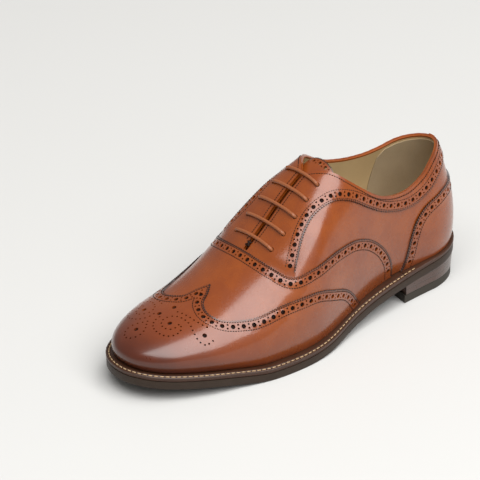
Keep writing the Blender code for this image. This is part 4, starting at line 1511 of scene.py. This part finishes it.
# %% [markdown]
# ## Edges, heel and threads
# Welt and sole edges are inked and waxed, the heel is stacked leather with fine lift lines, and the top piece
# is dull rubber. Threads are waxed, so they are smooth, with a slight sheen.

# %% Sole and thread finishes
def inked(name, one, two, rough=0.42, lines=0.0, coat=0.1):
    finish = Finish(name, Coat_Weight=coat, Coat_Roughness=0.3, Specular_IOR_Level=0.35)
    _, _, z = finish.axes()
    cloud = finish.noise(160.0, 4.0, 0.6)
    tone = finish.mixed(cloud, one, two)
    fine = finish.noise(1400.0, 2.0)
    height = fine * 0.4 + cloud * 0.3
    if lines:
        wave = (z * (2 * np.pi / lines)).math("SINE")
        groove = ((wave - 0.86) * 7.0).clipped()
        tone = finish.mixed(groove * 0.7, tone, (0.010, 0.005, 0.003, 1))
        height = height - groove * 0.8
    finish.wire("Base Color", tone)
    finish.wire("Roughness", rough + (fine - 0.5) * 0.2)
    finish.bump(height, 0.3, 0.0004)
    return finish


inked("welt_ink", (0.032, 0.012, 0.006, 1), (0.060, 0.024, 0.012, 1)).onto(welt, rand)
inked("edge_ink", (0.018, 0.009, 0.004, 1), (0.034, 0.018, 0.009, 1), 0.5, coat=0.0).onto(outsole)
inked("heel_ink", (0.044, 0.018, 0.011, 1), (0.074, 0.032, 0.020, 1), 0.30, lines=0.0048, coat=0.4).onto(heel)
rubber = inked("top_piece_rubber_black", (0.026, 0.021, 0.015, 1), (0.040, 0.033, 0.025, 1), 0.6, coat=0.0)
rubber.onto(top_piece)


def thread(name, colour, rough=0.6):
    finish = Finish(name, Specular_IOR_Level=0.2)
    strand = finish.noise(2500.0, 2.0)
    finish.wire("Base Color", finish.mixed(strand, colour, tuple(c * 0.7 for c in colour[:3]) + (1,)))
    finish.wire("Roughness", rough + (strand - 0.5) * 0.3)
    return finish


thread("dark_thread", (0.016, 0.006, 0.003, 1)).onto(dark_thread, tack)
# Near-black discs under the holes: painted shade.
thread("painted_hole_shade", (0.014, 0.005, 0.003, 1), 0.8).onto(hole_shade_discs)
thread("pale_thread", (0.50, 0.34, 0.19, 1)).onto(welt_thread)

lace_finish = Finish("waxed_lace", Coat_Weight=0.15, Coat_Roughness=0.35, Specular_IOR_Level=0.4)
braid = lace_finish.noise(1600.0, 2.0)
lace_finish.wire("Base Color", lace_finish.mixed(braid, (0.19, 0.052, 0.015, 1), (0.33, 0.105, 0.035, 1)))
lace_finish.wire("Roughness", 0.45 + (braid - 0.5) * 0.3)
lace_finish.bump(braid, 0.4, 0.0004)
lace_finish.onto(lace)

# %% [markdown]
# ## Which piece stands for which solid
# Each finished piece rides on the shoe's one body and hides the plain solid that it stands for.

# %% Ride and replace
dressed = (
    (quarters, "quarter_leather", ("upper",)),
    (lining, "lining_leather", ()),
    (vamp, "quarter_leather", ("vamp",)),
    (wing_cap, "toe_leather", ("wing_cap",)),
    (facings["lateral"], "panel_leather", ("facing_lateral",)),
    (facings["medial"], "panel_leather", ("facing_medial",)),
    (counter, "heel_leather", ("counter",)),
    (back_strap, "heel_leather", ("back_strap",)),
    (tongue, "tongue_leather", ("tongue",)),
    (insole, "lining_leather", ("insole",)),
    (welt, "welt_leather", ("welt",)),
    (rand, "welt_leather", ("heel_rand",)),
    (outsole, "sole_edge", ("outsole",)),
    (heel, "heel_stack", ("heel_stack",)),
    (top_piece, "top_piece", ("top_piece",)),
    (lace, "lace", tuple(f"lace_bar_{i}" for i in range(1, 6))),
    (heel_grip, "lining_leather", ()),
    (hole_shade_discs, "heel_leather", ()),
    (dark_thread, "lace", ()),
    (tack, "lace", ()),
    (welt_thread, "lace", ()),
)
for piece, slot_name, nodes in dressed:
    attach(piece, "root")
    if nodes:
        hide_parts(*nodes)
print("pieces:", len(dressed))

# %% [markdown]
# ## Studio
# A product shot: a pale floor, a large soft light overhead that gives the leather its broad highlights, and a
# camera placed by angles round the shoe, with a long lens. The camera's numbers come from the same fit as the
# last's tables.

# %% Floor, light and camera
bm = bmesh.new()
bmesh.ops.create_grid(bm, x_segments=1, y_segments=1, size=4.0)
floor = mesh_object("studio_floor", bm)
floor.location.z = -0.0001
floor_finish = Finish("pale_floor", Roughness=0.6, Specular_IOR_Level=0.2)
mottle = floor_finish.noise(3.0)
floor_finish.wire("Base Color", floor_finish.mixed(mottle, (0.565, 0.560, 0.543, 1), (0.575, 0.570, 0.553, 1)))
floor_finish.onto(floor)

world = bpy.data.worlds.new("studio")
bpy.context.scene.world = world
world.use_nodes = True
world.node_tree.nodes["Background"].inputs["Color"].default_value = (1.0, 0.995, 0.985, 1)
world.node_tree.nodes["Background"].inputs["Strength"].default_value = 0.30
bpy.context.scene.view_settings.view_transform = "Standard"


def soft_light(name, where, towards, size, power):
    data = bpy.data.lights.new(name, "AREA")
    data.shape = "RECTANGLE"
    data.size, data.size_y = size
    data.energy = power
    light = bpy.data.objects.new(name, data)
    bpy.context.collection.objects.link(light)
    light.location = where
    light.rotation_euler = (Vector(towards) - Vector(where)).to_track_quat("-Z", "Y").to_euler()


soft_light("overhead", (3.15, -0.45, 3.60), (3.15, -0.45, 0.0), (6.6, 5.0), 492)
soft_light("side", (3.20, -0.10, 1.10), (0, -0.10, 0.05), (2.4, 1.6), 3)

AZIMUTH, ELEVATION, ROLL = np.radians((50.715, 28.908, -0.466))
DISTANCE = 2.3631
TARGET = Vector((-0.05448, -0.10910, 0.040))
FOCAL = 257.9
back = Vector((np.sin(AZIMUTH) * np.cos(ELEVATION), -np.cos(AZIMUTH) * np.cos(ELEVATION), np.sin(ELEVATION)))
right = Vector((0, 0, 1)).cross(back).normalized()
up_axis = back.cross(right)
rolled_right = right * np.cos(ROLL) + up_axis * np.sin(ROLL)
rolled_up = up_axis * np.cos(ROLL) - right * np.sin(ROLL)
camera_data = bpy.data.cameras.new("camera")
camera_data.lens = FOCAL
camera_data.sensor_width = 36
camera = bpy.data.objects.new("camera", camera_data)
bpy.context.collection.objects.link(camera)
turned = Matrix((rolled_right, rolled_up, back)).transposed().to_4x4()
camera.matrix_world = Matrix.Translation(TARGET + back * DISTANCE) @ turned
bpy.context.scene.camera = camera

# %% Final update
bpy.context.view_layer.update()
